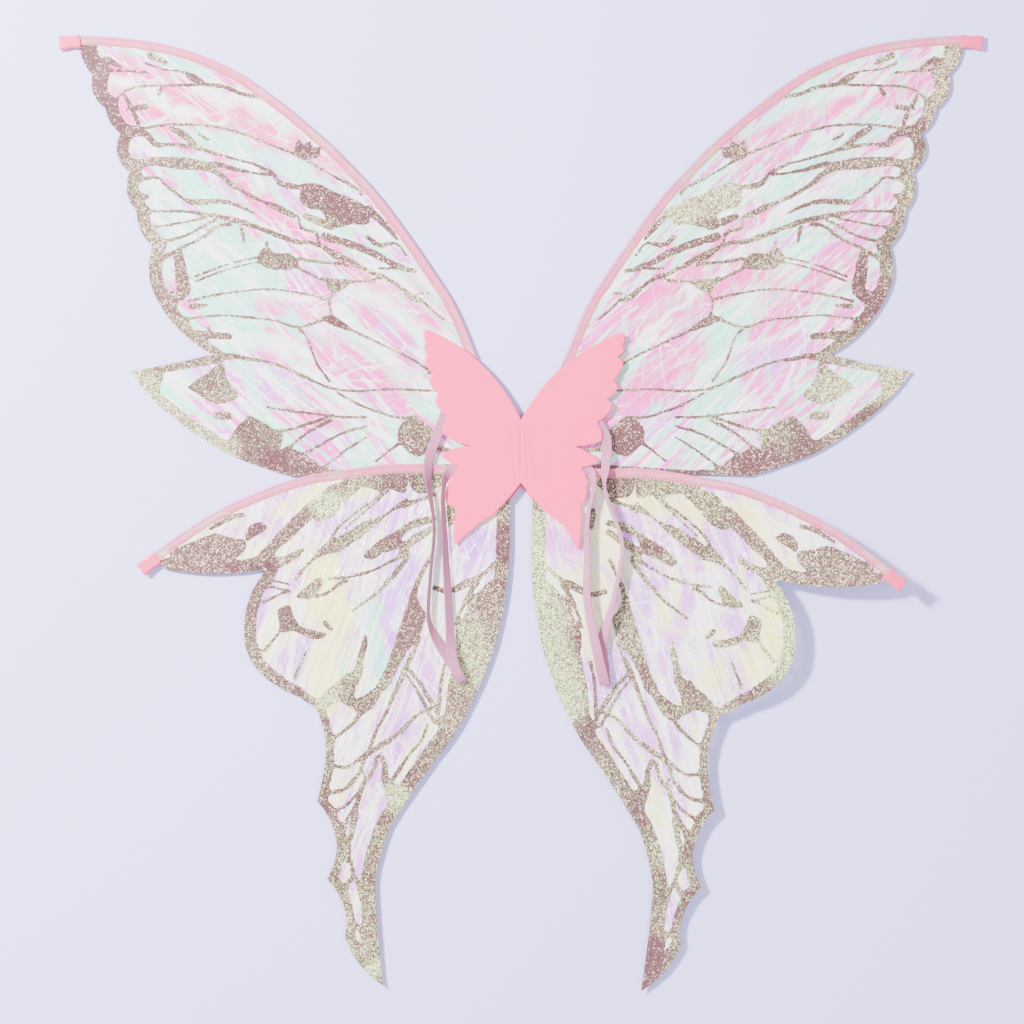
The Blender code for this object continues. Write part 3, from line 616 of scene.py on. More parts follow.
def march(values, gx, gy):
    """Vertices and triangles of the part of a grid where values are positive."""
    base = np.column_stack([gx.ravel(), gy.ravel()])
    level = values.ravel()
    index = np.arange(level.size).reshape(values.shape)
    a, b = index[:-1, :-1].ravel(), index[:-1, 1:].ravel()
    c, d = index[1:, 1:].ravel(), index[1:, :-1].ravel()
    tri = np.concatenate([np.column_stack([a, b, c]), np.column_stack([a, c, d])])
    inside = level[tri] > 0.0
    count = inside.sum(axis=1)
    faces = [tri[count == 3]]
    total = level.size

    def turned(rows, first):
        picks = (first[:, None] + np.arange(3)) % 3
        return np.take_along_axis(rows, picks, axis=1)

    def edge(i, j):
        return np.minimum(i, j) * total + np.maximum(i, j)

    one = turned(tri[count == 1], inside[count == 1].argmax(axis=1))
    two = turned(tri[count == 2], (~inside[count == 2]).argmax(axis=1))
    keys = np.concatenate([
        edge(one[:, 0], one[:, 1]), edge(one[:, 0], one[:, 2]),
        edge(two[:, 2], two[:, 0]), edge(two[:, 0], two[:, 1]),
    ])
    unique, back = np.unique(keys, return_inverse=True)
    i, j = unique // total, unique % total
    t = np.clip(level[i] / (level[i] - level[j]), 0.03, 0.97)[:, None]
    added = base[i] + (base[j] - base[i]) * t
    n1, n2 = len(one), len(two)
    e = back + total
    faces.append(np.column_stack([one[:, 0], e[:n1], e[n1:2 * n1]]))
    e20, e01 = e[2 * n1:2 * n1 + n2], e[2 * n1 + n2:]
    faces.append(np.column_stack([two[:, 1], two[:, 2], e20]))
    faces.append(np.column_stack([two[:, 1], e20, e01]))
    faces = np.concatenate(faces)
    points = np.concatenate([base, added])
    used, compact = np.unique(faces, return_inverse=True)
    return points[used], compact.reshape(faces.shape)


# ------------------------------------------------------------------ meshes

def add_mesh(name, points, faces, material, smooth=True):
    mesh = bpy.data.meshes.new(name)
    points = np.asarray(points, np.float32)
    faces = [list(map(int, face)) for face in faces]
    mesh.from_pydata([tuple(map(float, p)) for p in points], [], faces)
    mesh.materials.append(material)
    mesh.polygons.foreach_set("use_smooth", [smooth] * len(mesh.polygons))
    mesh.update()
    made = bpy.data.objects.new(name, mesh)
    bpy.context.collection.objects.link(made)
    return made


def paint(obj, name, colours):
    attribute = obj.data.attributes.new(name, "FLOAT_COLOR", "POINT")
    rows = np.ones((len(colours), 4), np.float32)
    rows[:, :3] = colours
    attribute.data.foreach_set("color", rows.ravel())


def ring_faces(rings, count, closed=True):
    """Four-sided faces between rings, or open rows, of `count` points each."""
    first = np.arange(rings - 1)[:, None] * count
    i = np.arange(count if closed else count - 1)
    a = (first + i).ravel()
    b = (first + (i + 1) % count).ravel()
    return np.column_stack([a, a + count, b + count, b])


def outward(faces, side):
    """Faces of a half turned round on the left, where x changes sign."""
    return [face[::-1] for face in faces] if SIDES[side] < 0 else faces


def add_piece(name, side, points, faces, look, lay=None, stands_for=None, smooth=True):
    """A mesh in half-frame millimetres, placed and hung on its wing."""
    piece = add_mesh(name, placed(points, side, lay), outward(faces, side), look, smooth)
    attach(piece, side + "_wing")
    if stands_for:
        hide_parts(stands_for)
    return piece


def slab(points, faces, top, bottom):
    """A closed body between two heights over a flat triangle mesh."""
    count = len(points)
    upper = np.column_stack([points, top])
    lower = np.column_stack([points, bottom])
    sides = np.concatenate([faces[:, [0, 1]], faces[:, [1, 2]], faces[:, [2, 0]]])
    keys = np.sort(sides, axis=1)
    _, first, repeats = np.unique(keys, axis=0, return_index=True, return_counts=True)
    rim = sides[first[repeats == 1]]
    walls = np.concatenate([
        np.column_stack([rim[:, 0], rim[:, 0] + count, rim[:, 1]]),
        np.column_stack([rim[:, 1], rim[:, 0] + count, rim[:, 1] + count]),
    ])
    every = np.concatenate([faces, faces[:, ::-1] + count, walls])
    return np.concatenate([upper, lower]), every


def linear(colour):
    """Linear values as they are, or sRGB 0..255 to linear."""
    c = np.array(colour, float)
    if c.max() <= 1.0:
        return c
    c = c / 255.0
    return np.where(c <= 0.04045, c / 12.92, ((c + 0.055) / 1.055) ** 2.4)


# --------------------------------------------------------------- materials

def material(name, rough, colour=(1.0, 1.0, 1.0), **sockets):
    made = bpy.data.materials.new(name)
    made.use_nodes = True
    shader = made.node_tree.nodes["Principled BSDF"]
    shader.inputs["Base Color"].default_value = (*linear(colour), 1.0)
    shader.inputs["Roughness"].default_value = rough
    for key, value in sockets.items():
        shader.inputs[key.replace("_", " ")].default_value = value
    return made


def node(made, kind, **settings):
    new = made.node_tree.nodes.new(kind)
    for key, value in settings.items():
        setattr(new, key, value)
    return new


def join(made, out, into):
    made.node_tree.links.new(out, into)


def into_shader(made, out, socket):
    join(made, out, made.node_tree.nodes["Principled BSDF"].inputs[socket])


def coordinates(made, squeeze=1.0, turn=0.0):
    """Object coordinates whose second axis is squeezed, at an angle to the piece."""
    source = node(made, "ShaderNodeTexCoord")
    turned = node(made, "ShaderNodeMapping")
    turned.inputs["Rotation"].default_value = (0, 0, math.radians(-turn))
    join(made, source.outputs["Object"], turned.inputs["Vector"])
    mapping = node(made, "ShaderNodeMapping")
    mapping.inputs["Scale"].default_value = (1.0, squeeze, 1.0)
    join(made, turned.outputs["Vector"], mapping.inputs["Vector"])
    return mapping.outputs["Vector"]


def noise(made, where, scale, detail=3.0, rough=0.55):
    new = node(made, "ShaderNodeTexNoise")
    new.inputs["Scale"].default_value = scale
    new.inputs["Detail"].default_value = detail
    new.inputs["Roughness"].default_value = rough
    join(made, where, new.inputs["Vector"])
    return new.outputs["Fac"]


def split(made, colour):
    new = node(made, "ShaderNodeSeparateColor")
    join(made, colour, new.inputs["Color"])
    return new.outputs


def cells(made, where, scale):
    """Three random values for each cell of about 1 / scale metres."""
    new = node(made, "ShaderNodeTexVoronoi")
    new.inputs["Scale"].default_value = scale
    join(made, where, new.inputs["Vector"])
    return split(made, new.outputs["Color"])


def threshold(made, factor, low, high):
    """Black up to one value, white from the other."""
    new = node(made, "ShaderNodeValToRGB")
    new.color_ramp.elements[0].position = low
    new.color_ramp.elements[1].position = high
    join(made, factor, new.inputs["Fac"])
    return new.outputs["Color"]


def ranged(made, factor, top, start, end):
    """A factor from 0 to top, carried to the values from start to end."""
    new = node(made, "ShaderNodeMapRange")
    for socket, value in (("From Max", top), ("To Min", start), ("To Max", end)):
        new.inputs[socket].default_value = value
    join(made, factor, new.inputs["Value"])
    return new.outputs["Result"]


def math_node(made, operation, a, b=None):
    new = node(made, "ShaderNodeMath", operation=operation)
    for socket, value in zip(new.inputs, (a, b)):
        if isinstance(value, (int, float)):
            socket.default_value = value
        elif value is not None:
            join(made, value, socket)
    return new.outputs["Value"]


def times(made, a, b):
    return math_node(made, "MULTIPLY", a, b)


def mixed(made, factor, a, b):
    new = node(made, "ShaderNodeMix", data_type="RGBA")
    for socket, value in ((new.inputs[0], factor), (new.inputs[6], a), (new.inputs[7], b)):
        if isinstance(value, (int, float)):
            socket.default_value = value
        elif isinstance(value, tuple):
            socket.default_value = (*linear(value), 1.0)
        else:
            join(made, value, socket)
    return new.outputs[2]


def relief(made, height, strength, distance):
    new = node(made, "ShaderNodeBump")
    new.inputs["Strength"].default_value = strength
    new.inputs["Distance"].default_value = distance
    join(made, height, new.inputs["Height"])
    into_shader(made, new.outputs["Normal"], "Normal")


def roughened(made, factor, low, high):
    into_shader(made, ranged(made, factor, 1.0, low, high), "Roughness")


def painted(made, name):
    return node(made, "ShaderNodeAttribute", attribute_name=name).outputs["Color"]


def crease_highlight_lines(made, where, scale, wide):
    """Thin wandering lines where noise crosses its middle value, used for painted crease highlights.
    """
    off_middle = math_node(made, "SUBTRACT", noise(made, where, scale, 1.5, 0.4), 0.5)
    return ranged(made, math_node(made, "ABSOLUTE", off_middle), wide, 1.0, 0.0)


def film_material(name, alpha, turn, reflection_tone):
    """Clear film with painted colour and painted reflection: white streaks, glints and crease
    highlights.
    """
    made = material(name, 0.16, Alpha=alpha, Coat_Weight=0.8, Coat_Roughness=0.08)
    along = coordinates(made, 7.0, turn)
    across = coordinates(made, 5.0, turn + 55.0)
    # Painted reflection: white streaks, glints and white crease highlights are mixed into the base
    # colour.
    streaks = threshold(made, noise(made, along, 24.0, 4.0, 0.6), 0.57, 0.64)
    glints = threshold(made, noise(made, across, 17.0, 3.0, 0.5), 0.58, 0.65)
    creases = math_node(made, "MAXIMUM", crease_highlight_lines(made, along, 9.0, 0.010),
                        crease_highlight_lines(made, across, 7.0, 0.007))
    colour = painted(made, "tint")
    layers = ((streaks, 0.66, REFLECTION_WHITE), (glints, 0.45, reflection_tone), (creases, 0.9, REFLECTION_WHITE))
    for factor, strength, tone in layers:
        colour = mixed(made, times(made, factor, strength), colour, tone)
    into_shader(made, colour, "Base Color")
    relief(made, noise(made, along, 26.0, 3.0, 0.6), 0.8, 0.004)
    roughened(made, noise(made, along, 60.0), 0.08, 0.26)
    return made


def glitter_material():
    """Flakes under 1 mm across, each catching the light its own way; its brightest flakes are partly
    painted sparkle.
    """
    made = material("glitter_print", 0.4, Specular_IOR_Level=0.6)
    where = coordinates(made)
    flake = cells(made, where, 1300.0)
    clump = cells(made, where, 520.0)
    light, green, rose = split(made, painted(made, "shade"))[:3]
    dark = mixed(made, light, (0.035, 0.005, 0.012), (0.13, 0.085, 0.055))
    rosy = mixed(made, flake[2], (0.98, 0.50, 0.50), (0.90, 0.85, 0.60))
    lime = mixed(made, flake[2], (0.42, 0.97, 0.52), (0.98, 0.95, 0.26))
    pale_and_sparkle_tone = mixed(made, green, rosy, lime)
    warm = mixed(made, rose, (0.24, 0.13, 0.10), (0.16, 0.018, 0.040))
    level = math_node(made, "ADD", times(made, flake[0], 0.75), times(made, clump[1], 0.25))
    level = math_node(made, "ADD", level, times(made, light, 0.34))
    # Pale flakes: partly the print's light flakes, partly painted sparkle of flakes catching the
    # light.
    pale_flakes_and_sparkle = math_node(made, "GREATER_THAN", level, 0.87)
    flakes = mixed(made, times(made, flake[1], 0.7), dark, warm)
    leafy = times(made, math_node(made, "GREATER_THAN", flake[1], 0.84), green)
    flakes = mixed(made, leafy, flakes, (0.40, 0.50, 0.20))
    into_shader(made, mixed(made, pale_flakes_and_sparkle, flakes, pale_and_sparkle_tone), "Base Color")
    roughened(made, flake[2], 0.25, 0.65)
    relief(made, flake[0], 0.5, 0.0006)
    return made


def felt_material(name, colour, deep):
    made = material(name, 0.95, Sheen_Weight=0.25, Sheen_Roughness=0.6,
                    Specular_IOR_Level=0.1)
    where = coordinates(made)
    fibre = noise(made, where, 620.0, 4.0, 0.8)
    cloud = noise(made, where, 45.0, 3.0, 0.5)
    fibres = mixed(made, fibre, deep, colour)
    into_shader(made, mixed(made, times(made, cloud, 0.5), fibres, colour), "Base Color")
    relief(made, fibre, 0.6, 0.0012)
    return made


def ribbon_material(name, alpha, colour, deep):
    """Woven ribbon. The print below shows as specks through a sheer one."""
    made = material(name, 0.55, Alpha=alpha, Sheen_Weight=0.3, Sheen_Roughness=0.4)
    where = coordinates(made)
    threads = noise(made, where, 1500.0, 2.0)
    cloud = noise(made, where, 120.0, 3.0)
    weave = mixed(made, times(made, cloud, 0.4), mixed(made, threads, deep, colour), colour)
    if alpha < 1.0:
        under = threshold(made, noise(made, where, 38.0, 2.0), 0.52, 0.60)
        speck = cells(made, where, 1500.0)[0]
        print_below = mixed(made, speck, (0.50, 0.20, 0.20), (0.86, 0.84, 0.56))
        weave = mixed(made, times(made, under, 0.45), weave, print_below)
    into_shader(made, weave, "Base Color")
    relief(made, threads, 0.3, 0.0003)
    return made


def elastic_material():
    """Ribbed along its length, with the weft showing across."""
    made = material("mauve_elastic", 0.7, Sheen_Weight=0.35, Sheen_Roughness=0.4)
    source = node(made, "ShaderNodeUVMap", uv_map="strap")
    waves = []
    for direction, scale in (("X", 2.6), ("Y", 180.0)):
        wave = node(made, "ShaderNodeTexWave", wave_type="BANDS", bands_direction=direction)
        wave.inputs["Scale"].default_value = scale
        join(made, source.outputs["UV"], wave.inputs["Vector"])
        waves.append(wave.outputs["Fac"])
    height = math_node(made, "ADD", waves[0], times(made, waves[1], 0.4))
    colour = mixed(made, times(made, height, 0.6), (0.34, 0.09, 0.19), (0.58, 0.20, 0.36))
    into_shader(made, colour, "Base Color")
    relief(made, height, 0.5, 0.0004)
    return made


def plain_material(name, colour, deep, rough, scale, metallic=0.0):
    made = material(name, rough, Metallic=metallic)
    grain = noise(made, coordinates(made), scale, 4.0, 0.6)
    into_shader(made, mixed(made, grain, deep, colour), "Base Color")
    relief(made, grain, 0.2, 0.0003)
    roughened(made, grain, rough - 0.08, rough + 0.08)
    return made


# ------------------------------------------------------------ film colours

# White, gold-white and mint tones are painted reflection; cream is yellow tint with painted
# reflection.
LILAC = (0.82, 0.22, 0.90)
PINK = (0.97, 0.05, 0.42)
REFLECTION_WHITE = (0.98, 0.98, 0.98)
REFLECTION_GOLD = (0.98, 0.98, 0.42)
REFLECTION_MINT = (0.30, 0.98, 0.70)
CREAM_AND_REFLECTION = (0.98, 0.97, 0.22)
PEACH = (0.97, 0.16, 0.34)
VIOLET = (0.62, 0.16, 0.92)

# Patches of film colour: a line, how far they reach from it, the tone, its strength.
# White and mint patches are painted reflection; cream ones are yellow tint with painted reflection in
# it.
FORE_ZONES = {
    "left": [
        ([(425, 448), (385, 436), (330, 416)], 15, PINK, 1.0),
        ([(405, 410), (360, 392)], 14, PINK, 1.0),
        ([(371, 410), (266, 385), (190, 350)], 13, PEACH, 1.0),
        ([(425, 440), (395, 428), (350, 405), (300, 388)], 3, REFLECTION_WHITE, 1.0),
        ([(326, 424), (231, 396)], 8, REFLECTION_WHITE, 0.9),
        ([(371, 419), (336, 393)], 7, REFLECTION_WHITE, 0.8),
        ([(331, 376), (266, 358), (215, 338)], 9, REFLECTION_MINT, 0.9),
        ([(306, 351), (259, 311), (221, 283), (171, 249), (91, 181)], 7, PINK, 1.0),
        ([(330, 322), (300, 312)], 14, REFLECTION_MINT, 0.7),
        ([(366, 262), (360, 240)], 12, REFLECTION_MINT, 0.8),
        ([(259, 206), (240, 204)], 9, PINK, 0.8),
        ([(211, 201), (200, 204)], 9, PINK, 0.8),
        ([(300, 175), (240, 168), (215, 152)], 9, REFLECTION_WHITE, 0.9),
        ([(190, 165), (150, 140), (120, 125)], 16, PINK, 0.7),
        ([(221, 99), (186, 84)], 8, PINK, 1.0),
        ([(160, 225), (120, 200), (90, 170)], 8, REFLECTION_WHITE, 0.6),
        ([(110, 230), (80, 195)], 8, PINK, 0.6),
    ],
    "right": [
        ([(420, 440), (370, 420), (330, 405)], 14, PINK, 0.9),
        ([(330, 405), (270, 385), (220, 360)], 13, PINK, 0.9),
        ([(360, 390), (300, 350), (250, 320)], 13, REFLECTION_MINT, 0.9),
        ([(370, 430), (300, 370), (200, 290)], 4, REFLECTION_WHITE, 1.0),
        ([(350, 330), (290, 300), (250, 280)], 9, REFLECTION_MINT, 0.8),
        ([(240, 300), (180, 250), (110, 200)], 10, PINK, 1.0),
        ([(235, 245), (180, 215), (130, 180)], 16, PINK, 1.0),
        ([(330, 245), (260, 225), (250, 190)], 16, PINK, 0.9),
        ([(290, 330), (200, 240), (120, 170)], 4, REFLECTION_WHITE, 1.0),
        ([(320, 280), (230, 190), (180, 140)], 3, REFLECTION_MINT, 1.0),
        ([(170, 165), (120, 120), (100, 100)], 16, PINK, 0.9),
        ([(280, 165), (220, 150)], 9, LILAC, 0.9),
        ([(230, 110), (190, 85)], 8, REFLECTION_WHITE, 0.9),
    ],
}
HIND_ZONES = {
    "left": [
        ([(205, -50), (185, -105), (196, -150), (196, -190)], 17, CREAM_AND_REFLECTION, 1.0),
        ([(240, 0), (200, 18), (150, 22)], 9, CREAM_AND_REFLECTION, 0.8),
        ([(300, -12), (260, 5)], 8, REFLECTION_WHITE, 0.7),
        ([(118, -55), (137, -100), (128, -140)], 13, VIOLET, 1.0),
        ([(150, -95), (143, -150), (140, -178)], 8, REFLECTION_MINT, 0.9),
        ([(180, -150), (170, -185)], 7, REFLECTION_MINT, 0.7),
        ([(50, -40), (35, -30)], 16, VIOLET, 1.0),
        ([(95, -150), (85, -175)], 10, LILAC, 0.9),
        ([(110, -215), (125, -235)], 12, VIOLET, 0.9),
        ([(180, -215), (175, -240)], 10, REFLECTION_WHITE, 0.8),
        ([(160, -320), (150, -370)], 8, LILAC, 0.8),
        ([(90, 5), (85, -60), (75, -130)], 9, REFLECTION_WHITE, 0.8),
        ([(150, 8), (120, -2)], 9, LILAC, 0.9),
    ],
    "right": [
        ([(265, -60), (250, -110), (245, -150)], 19, CREAM_AND_REFLECTION, 1.0),
        ([(200, -150), (180, -175)], 13, CREAM_AND_REFLECTION, 0.8),
        ([(260, -12), (215, 5), (130, 14), (100, 20)], 12, CREAM_AND_REFLECTION, 0.9),
        ([(330, -42), (290, -25)], 9, CREAM_AND_REFLECTION, 0.7),
        ([(200, -60), (180, -110)], 11, REFLECTION_WHITE, 0.9),
        ([(130, -60), (110, -120), (95, -170)], 15, VIOLET, 0.9),
        ([(165, -90), (150, -150)], 9, LILAC, 0.9),
        ([(50, -40), (35, -30)], 16, LILAC, 1.0),
        ([(120, -210), (140, -230)], 12, LILAC, 0.9),
        ([(180, -230), (175, -250)], 10, REFLECTION_WHITE, 0.8),
        ([(300, -20), (250, -5)], 9, REFLECTION_WHITE, 0.7),
    ],
}
# The print along a line, and how far from it: how light it is, how yellow-green its
# bright flakes are, and how rose its dark flakes are.
FORE_SHADES = {"left": [
    ([(441, 459), (429, 437), (416, 403), (401, 380)], 20, (0.0, 0.0, 1.0)),
    ([(388, 381), (340, 372)], 10, (0.15, 0.0, 0.9)),
    ([(391, 347), (340, 348)], 12, (0.35, 0.1, 0.5)),
    ([(215, 320), (160, 300)], 16, (0.1, 0.0, 0.9)),
    ([(340, 236), (350, 215)], 16, (0.3, 0.1, 0.8)),
    ([(248, 52), (215, 48)], 13, (0.0, 0.0, 1.0)),
    ([(196, 275), (130, 248)], 9, (0.2, 0.0, 0.8)),
    ([(303, 347), (249, 337)], 5, (0.1, 0.0, 0.8)),
    ([(388, 137), (360, 115)], 14, (0.85, 0.5, 0.2)),
    ([(355, 99), (293, 62)], 14, (0.8, 0.5, 0.2)),
    ([(420, 441), (340, 440)], 8, (0.2, 0.0, 0.9)),
    ([(257, 309), (175, 246)], 5, (0.1, 0.0, 0.9)),
    ([(191, 190), (175, 186)], 9, (0.0, 0.0, 1.0)),
    ([(218, 366), (205, 360)], 10, (0.1, 0.0, 1.0)),
    ([(391, 405), (384, 391)], 7, (0.1, 0.0, 0.9)),
    ([(222, 54), (105, 66)], 9, (0.25, 0.1, 0.9)),
], "right": [
    ([(441, 459), (416, 403)], 14, (0.75, 0.3, 0.4)),
    ([(388, 381), (340, 372)], 12, (0.3, 0.2, 0.8)),
    ([(391, 347), (340, 348)], 12, (0.4, 0.3, 0.6)),
    ([(215, 320), (160, 300)], 16, (0.9, 0.7, 0.2)),
    ([(340, 236), (350, 215)], 18, (0.1, 0.0, 0.9)),
    ([(248, 52), (215, 48)], 14, (0.2, 0.0, 1.0)),
    ([(196, 275), (130, 248)], 9, (0.2, 0.0, 0.8)),
    ([(303, 347), (249, 337)], 5, (0.1, 0.0, 0.8)),
    ([(388, 137), (310, 120)], 22, (0.9, 0.6, 0.1)),
    ([(160, 90), (100, 70)], 18, (0.1, 0.0, 1.0)),
]}
HIND_SHADES = {"left": [
    ([(340, -50), (290, -45)], 22, (0.25, 0.1, 0.9)),
    ([(265, -20), (262, -14)], 9, (0.05, 0.0, 1.0)),
    ([(285, -57), (250, -56)], 7, (0.0, 0.1, 1.0)),
    ([(240, -30), (215, 2)], 10, (0.2, 0.3, 0.8)),
    ([(200, 8), (185, 4)], 13, (0.9, 1.0, 0.2)),
    ([(270, -100), (262, -85)], 14, (0.2, 0.3, 0.9)),
    ([(105, -95), (115, -130)], 14, (0.15, 0.1, 0.9)),
    ([(17, -20), (17, -45)], 12, (0.0, 0.1, 1.0)),
    ([(40, -85), (35, -105)], 20, (0.35, 0.4, 0.9)),
    ([(50, -130), (45, -160)], 18, (0.8, 0.9, 0.4)),
    ([(136, -30), (122, -28)], 9, (0.0, 0.2, 1.0)),
    ([(205, -160), (195, -190)], 14, (1.0, 1.0, 0.1)),
    ([(128, -285), (120, -290)], 12, (0.9, 0.9, 0.2)),
    ([(142, -455), (150, -462)], 8, (1.0, 1.0, 0.1)),
], "right": [
    ([(340, -50), (290, -45)], 22, (0.35, 0.3, 0.8)),
    ([(250, -30), (215, 2)], 12, (0.3, 0.3, 0.9)),
    ([(185, 10), (130, 30)], 14, (0.4, 0.8, 0.8)),
    ([(270, -100), (262, -85), (262, -140)], 20, (0.9, 1.0, 0.2)),
    ([(17, -20), (30, -110), (55, -190)], 18, (0.95, 1.0, 0.1)),
    ([(105, -95), (115, -130)], 14, (0.4, 0.6, 0.6)),
    ([(150, -430), (140, -465)], 14, (0.0, 0.0, 1.0)),
    ([(136, -30), (122, -28)], 9, (0.1, 0.2, 1.0)),
]}

# Each film has a base tint and one tone for its painted reflections and glints.
WINGS = {
    "forewing": {
        "wire": FORE_WIRE, "edge": FORE_EDGE, "strokes": FORE_STROKES,
        "patches": FORE_PATCHES, "zones": FORE_ZONES, "shades": FORE_SHADES,
        "z": 3.4, "lay": {"left": None, "right": None}, "hem_start": 4,
        "alpha": 0.90, "grain": 42.0, "angle": 44.0,
        "base": (0.92, 0.12, 0.56), "reflection_tone": REFLECTION_MINT, "shade": (0.22, 0.42, 0.65),
        "seed": {"left": 3, "right": 43},
    },
    "hindwing": {
        "wire": HIND_WIRE, "edge": HIND_EDGE, "strokes": HIND_STROKES,
        "patches": HIND_PATCHES, "zones": HIND_ZONES, "shades": HIND_SHADES,
        "z": 5.4, "lay": HIND_LAY, "hem_start": 3,
        "alpha": 0.86, "grain": -70.0, "angle": -70.0,
        "base": (0.72, 0.26, 0.90), "reflection_tone": REFLECTION_GOLD, "shade": (0.26, 0.60, 0.85),
        "seed": {"left": 17, "right": 71},
    },
}


def zone_weight(x, y, line, reach):
    """1 along a line, fading to 0 at 1.6 times its reach."""
    return smooth_step(-path_distance(x, y, np.array(line, float)), -1.6 * reach, -0.4 * reach)


def film_tint_and_reflection(x, y, wing, side):
    """Streaks along the film's grain, then the zones seen in the photograph."""
    angle, reflection_tone, seed = wing["angle"], wing["reflection_tone"], wing["seed"][side]
    colour = np.tile(linear(wing["base"]), (len(x), 1))
    # White streaks, and those in the film's reflection tone, are painted reflection; lilac ones are
    # tint.
    palette = (
        (angle - 50, 60.0, 18.0, LILAC, 0.56, 0.66),
        (angle + 14, 110.0, 22.0, reflection_tone, 0.55, 0.61),
        (angle - 14, 110.0, 9.0, REFLECTION_WHITE, 0.60, 0.65),
        (angle + 4, 130.0, 4.0, REFLECTION_WHITE, 0.61, 0.65),
        (angle - 4, 120.0, 4.0, reflection_tone, 0.62, 0.66),
    )
    for k, (turn, length, width, tone, low, high) in enumerate(palette):
        fac = smooth_step(streak_noise(x, y, turn, length, width, seed + 11 * k), low, high)
        colour += (linear(tone) - colour) * 0.8 * fac[:, None]
    wander = 10.0 * (value_noise(x / 14.0, y / 14.0, seed + 91) - 0.5)
    for line, reach, tone, strength in wing["zones"][side]:
        fac = zone_weight(x + wander, y - wander, line, reach)
        colour += (linear(tone) - colour) * strength * 0.85 * fac[:, None]
    return np.clip(colour, 0.0, 1.0)


def print_shade(x, y, wing, side):
    """Light, green and rose of the print, wandering about a base value."""
    shade = np.empty((len(x), 3))
    for k, (size, swing) in enumerate(((26.0, 0.7), (33.0, 0.9), (21.0, 0.6))):
        patchy = value_noise(x / size, y / size, wing["seed"][side] + k)
        shade[:, k] = wing["shade"][k] + swing * (patchy - 0.5)
    for line, reach, tone in wing["shades"][side]:
        fac = zone_weight(x, y, line, reach)[:, None]
        shade += (np.array(tone) - shade) * fac * 0.9
    return np.clip(shade, 0.0, 1.0)


# ------------------------------------------------------------------- wings

def wing_shapes(wing):
    """The wire's stations, and flat meshes of the film and of the print on it."""
    path = wire_stations(wing["wire"])
    beside = (path - outward_normals(path) * FILM_INSET)[1:-2]
    free = bowed_edge(wing["edge"])
    outline = np.concatenate([beside, free[:, :2]])
    gx, gy = outline_grid(outline, FILM_GRID)
    film = march(inside_distance(gx, gy, outline), gx, gy)
    leading = np.column_stack([beside[3:], np.full(len(beside) - 3, LEADING_BORDER)])
    gx, gy = outline_grid(outline, PRINT_GRID)
    around = inside_distance(gx, gy, outline)
    runs = wing["strokes"] + [leading]
    field = print_field(gx, gy, around, runs, wing["patches"], free)
    return {"path": path, "film": film, "print": march(field, gx, gy)}


def film_height(x, y, path, wing, side):
    """Height of the film, which lies flat by its wire and at its root."""
    fade = smooth_step(path_distance(x, y, path), 9.0, 26.0)
    root = smooth_step(np.hypot(x, y - 60.0), 60.0, 100.0)
    return wing["z"] + wrinkles(x, y, wing["seed"][side], wing["angle"]) * fade * root


def make_film(side, kind, shapes, glitter):
    """One film, and its print on both faces."""
    wing = WINGS[kind]
    lay = wing["lay"][side]
    slot = kind + "_film"
    name = side + "_" + kind + "_foil"
    look = film_material(name, wing["alpha"], SIDES[side] * wing["grain"], wing["reflection_tone"])
    points, faces = shapes["film"]
    x, y = points.T
    height = film_height(x, y, shapes["path"], wing, side)
    film = add_piece(name, side, np.column_stack([x, y, height]), faces, look, lay,
                     stands_for=side + "_" + slot)
    paint(film, "tint", film_tint_and_reflection(x, y, wing, side))
    points, faces = shapes["print"]
    x, y = points.T
    height = film_height(x, y, shapes["path"], wing, side)
    layers = [np.column_stack([x, y, height + gap]) for gap in (PRINT_GAP, -PRINT_GAP)]
    both = np.concatenate([faces, faces[:, ::-1] + len(points)])
    drawn = add_piece(name + "_print", side, np.concatenate(layers), both, glitter, lay)
    paint(drawn, "shade", np.tile(print_shade(x, y, wing, side), (2, 1)))


def hem_profile():
    """Across the folded ribbon, from its upper inner edge round to the lower one."""
    bend = np.radians(np.linspace(RIDGE_REACH, -RIDGE_REACH, 13))
    arc = [(RIDGE_RADIUS * math.cos(a), RIDGE_RADIUS * math.sin(a)) for a in bend]
    return HEM_TOP + arc + [(u, -v) for u, v in HEM_TOP[::-1]]


def make_hem(side, kind, looks):
    """A ribbon folded over the wire, and its row of stitches."""
    wing = WINGS[kind]
    lay, z = wing["lay"][side], wing["z"]
    name = side + "_" + kind + "_ribbon"
    runs = len(wire_stations(wing["wire"])) - 1
    step = HEM_STATIONS / runs
    path = even_stations(wing["wire"], HEM_STATIONS)
    path = path[int(wing["hem_start"] * step):int((runs - 1) * step)][::2]
    normals = outward_normals(path)
    profile = hem_profile()
    rows = []
    for k, (p, n) in enumerate(zip(path, normals)):
        ripple = 0.18 * math.sin(k * 0.83) + 0.12 * math.sin(k * 2.1)
        for u, v in profile:
            reach = u + ripple * max(0.0, (-u - 3.0) / 5.0)
            rows.append((p[0] + n[0] * reach, p[1] + n[1] * reach, z + v))
    faces = ring_faces(len(path), len(profile), closed=False)
    hem = add_piece(name, side, rows, faces, looks["ribbon"], lay,
                    stands_for=side + "_" + kind + "_hem")
    rows, faces = stitch_bars(path, normals, z)
    stitches = add_piece(name + "_stitches", side, rows, faces, looks["thread"],
                         lay, smooth=False)


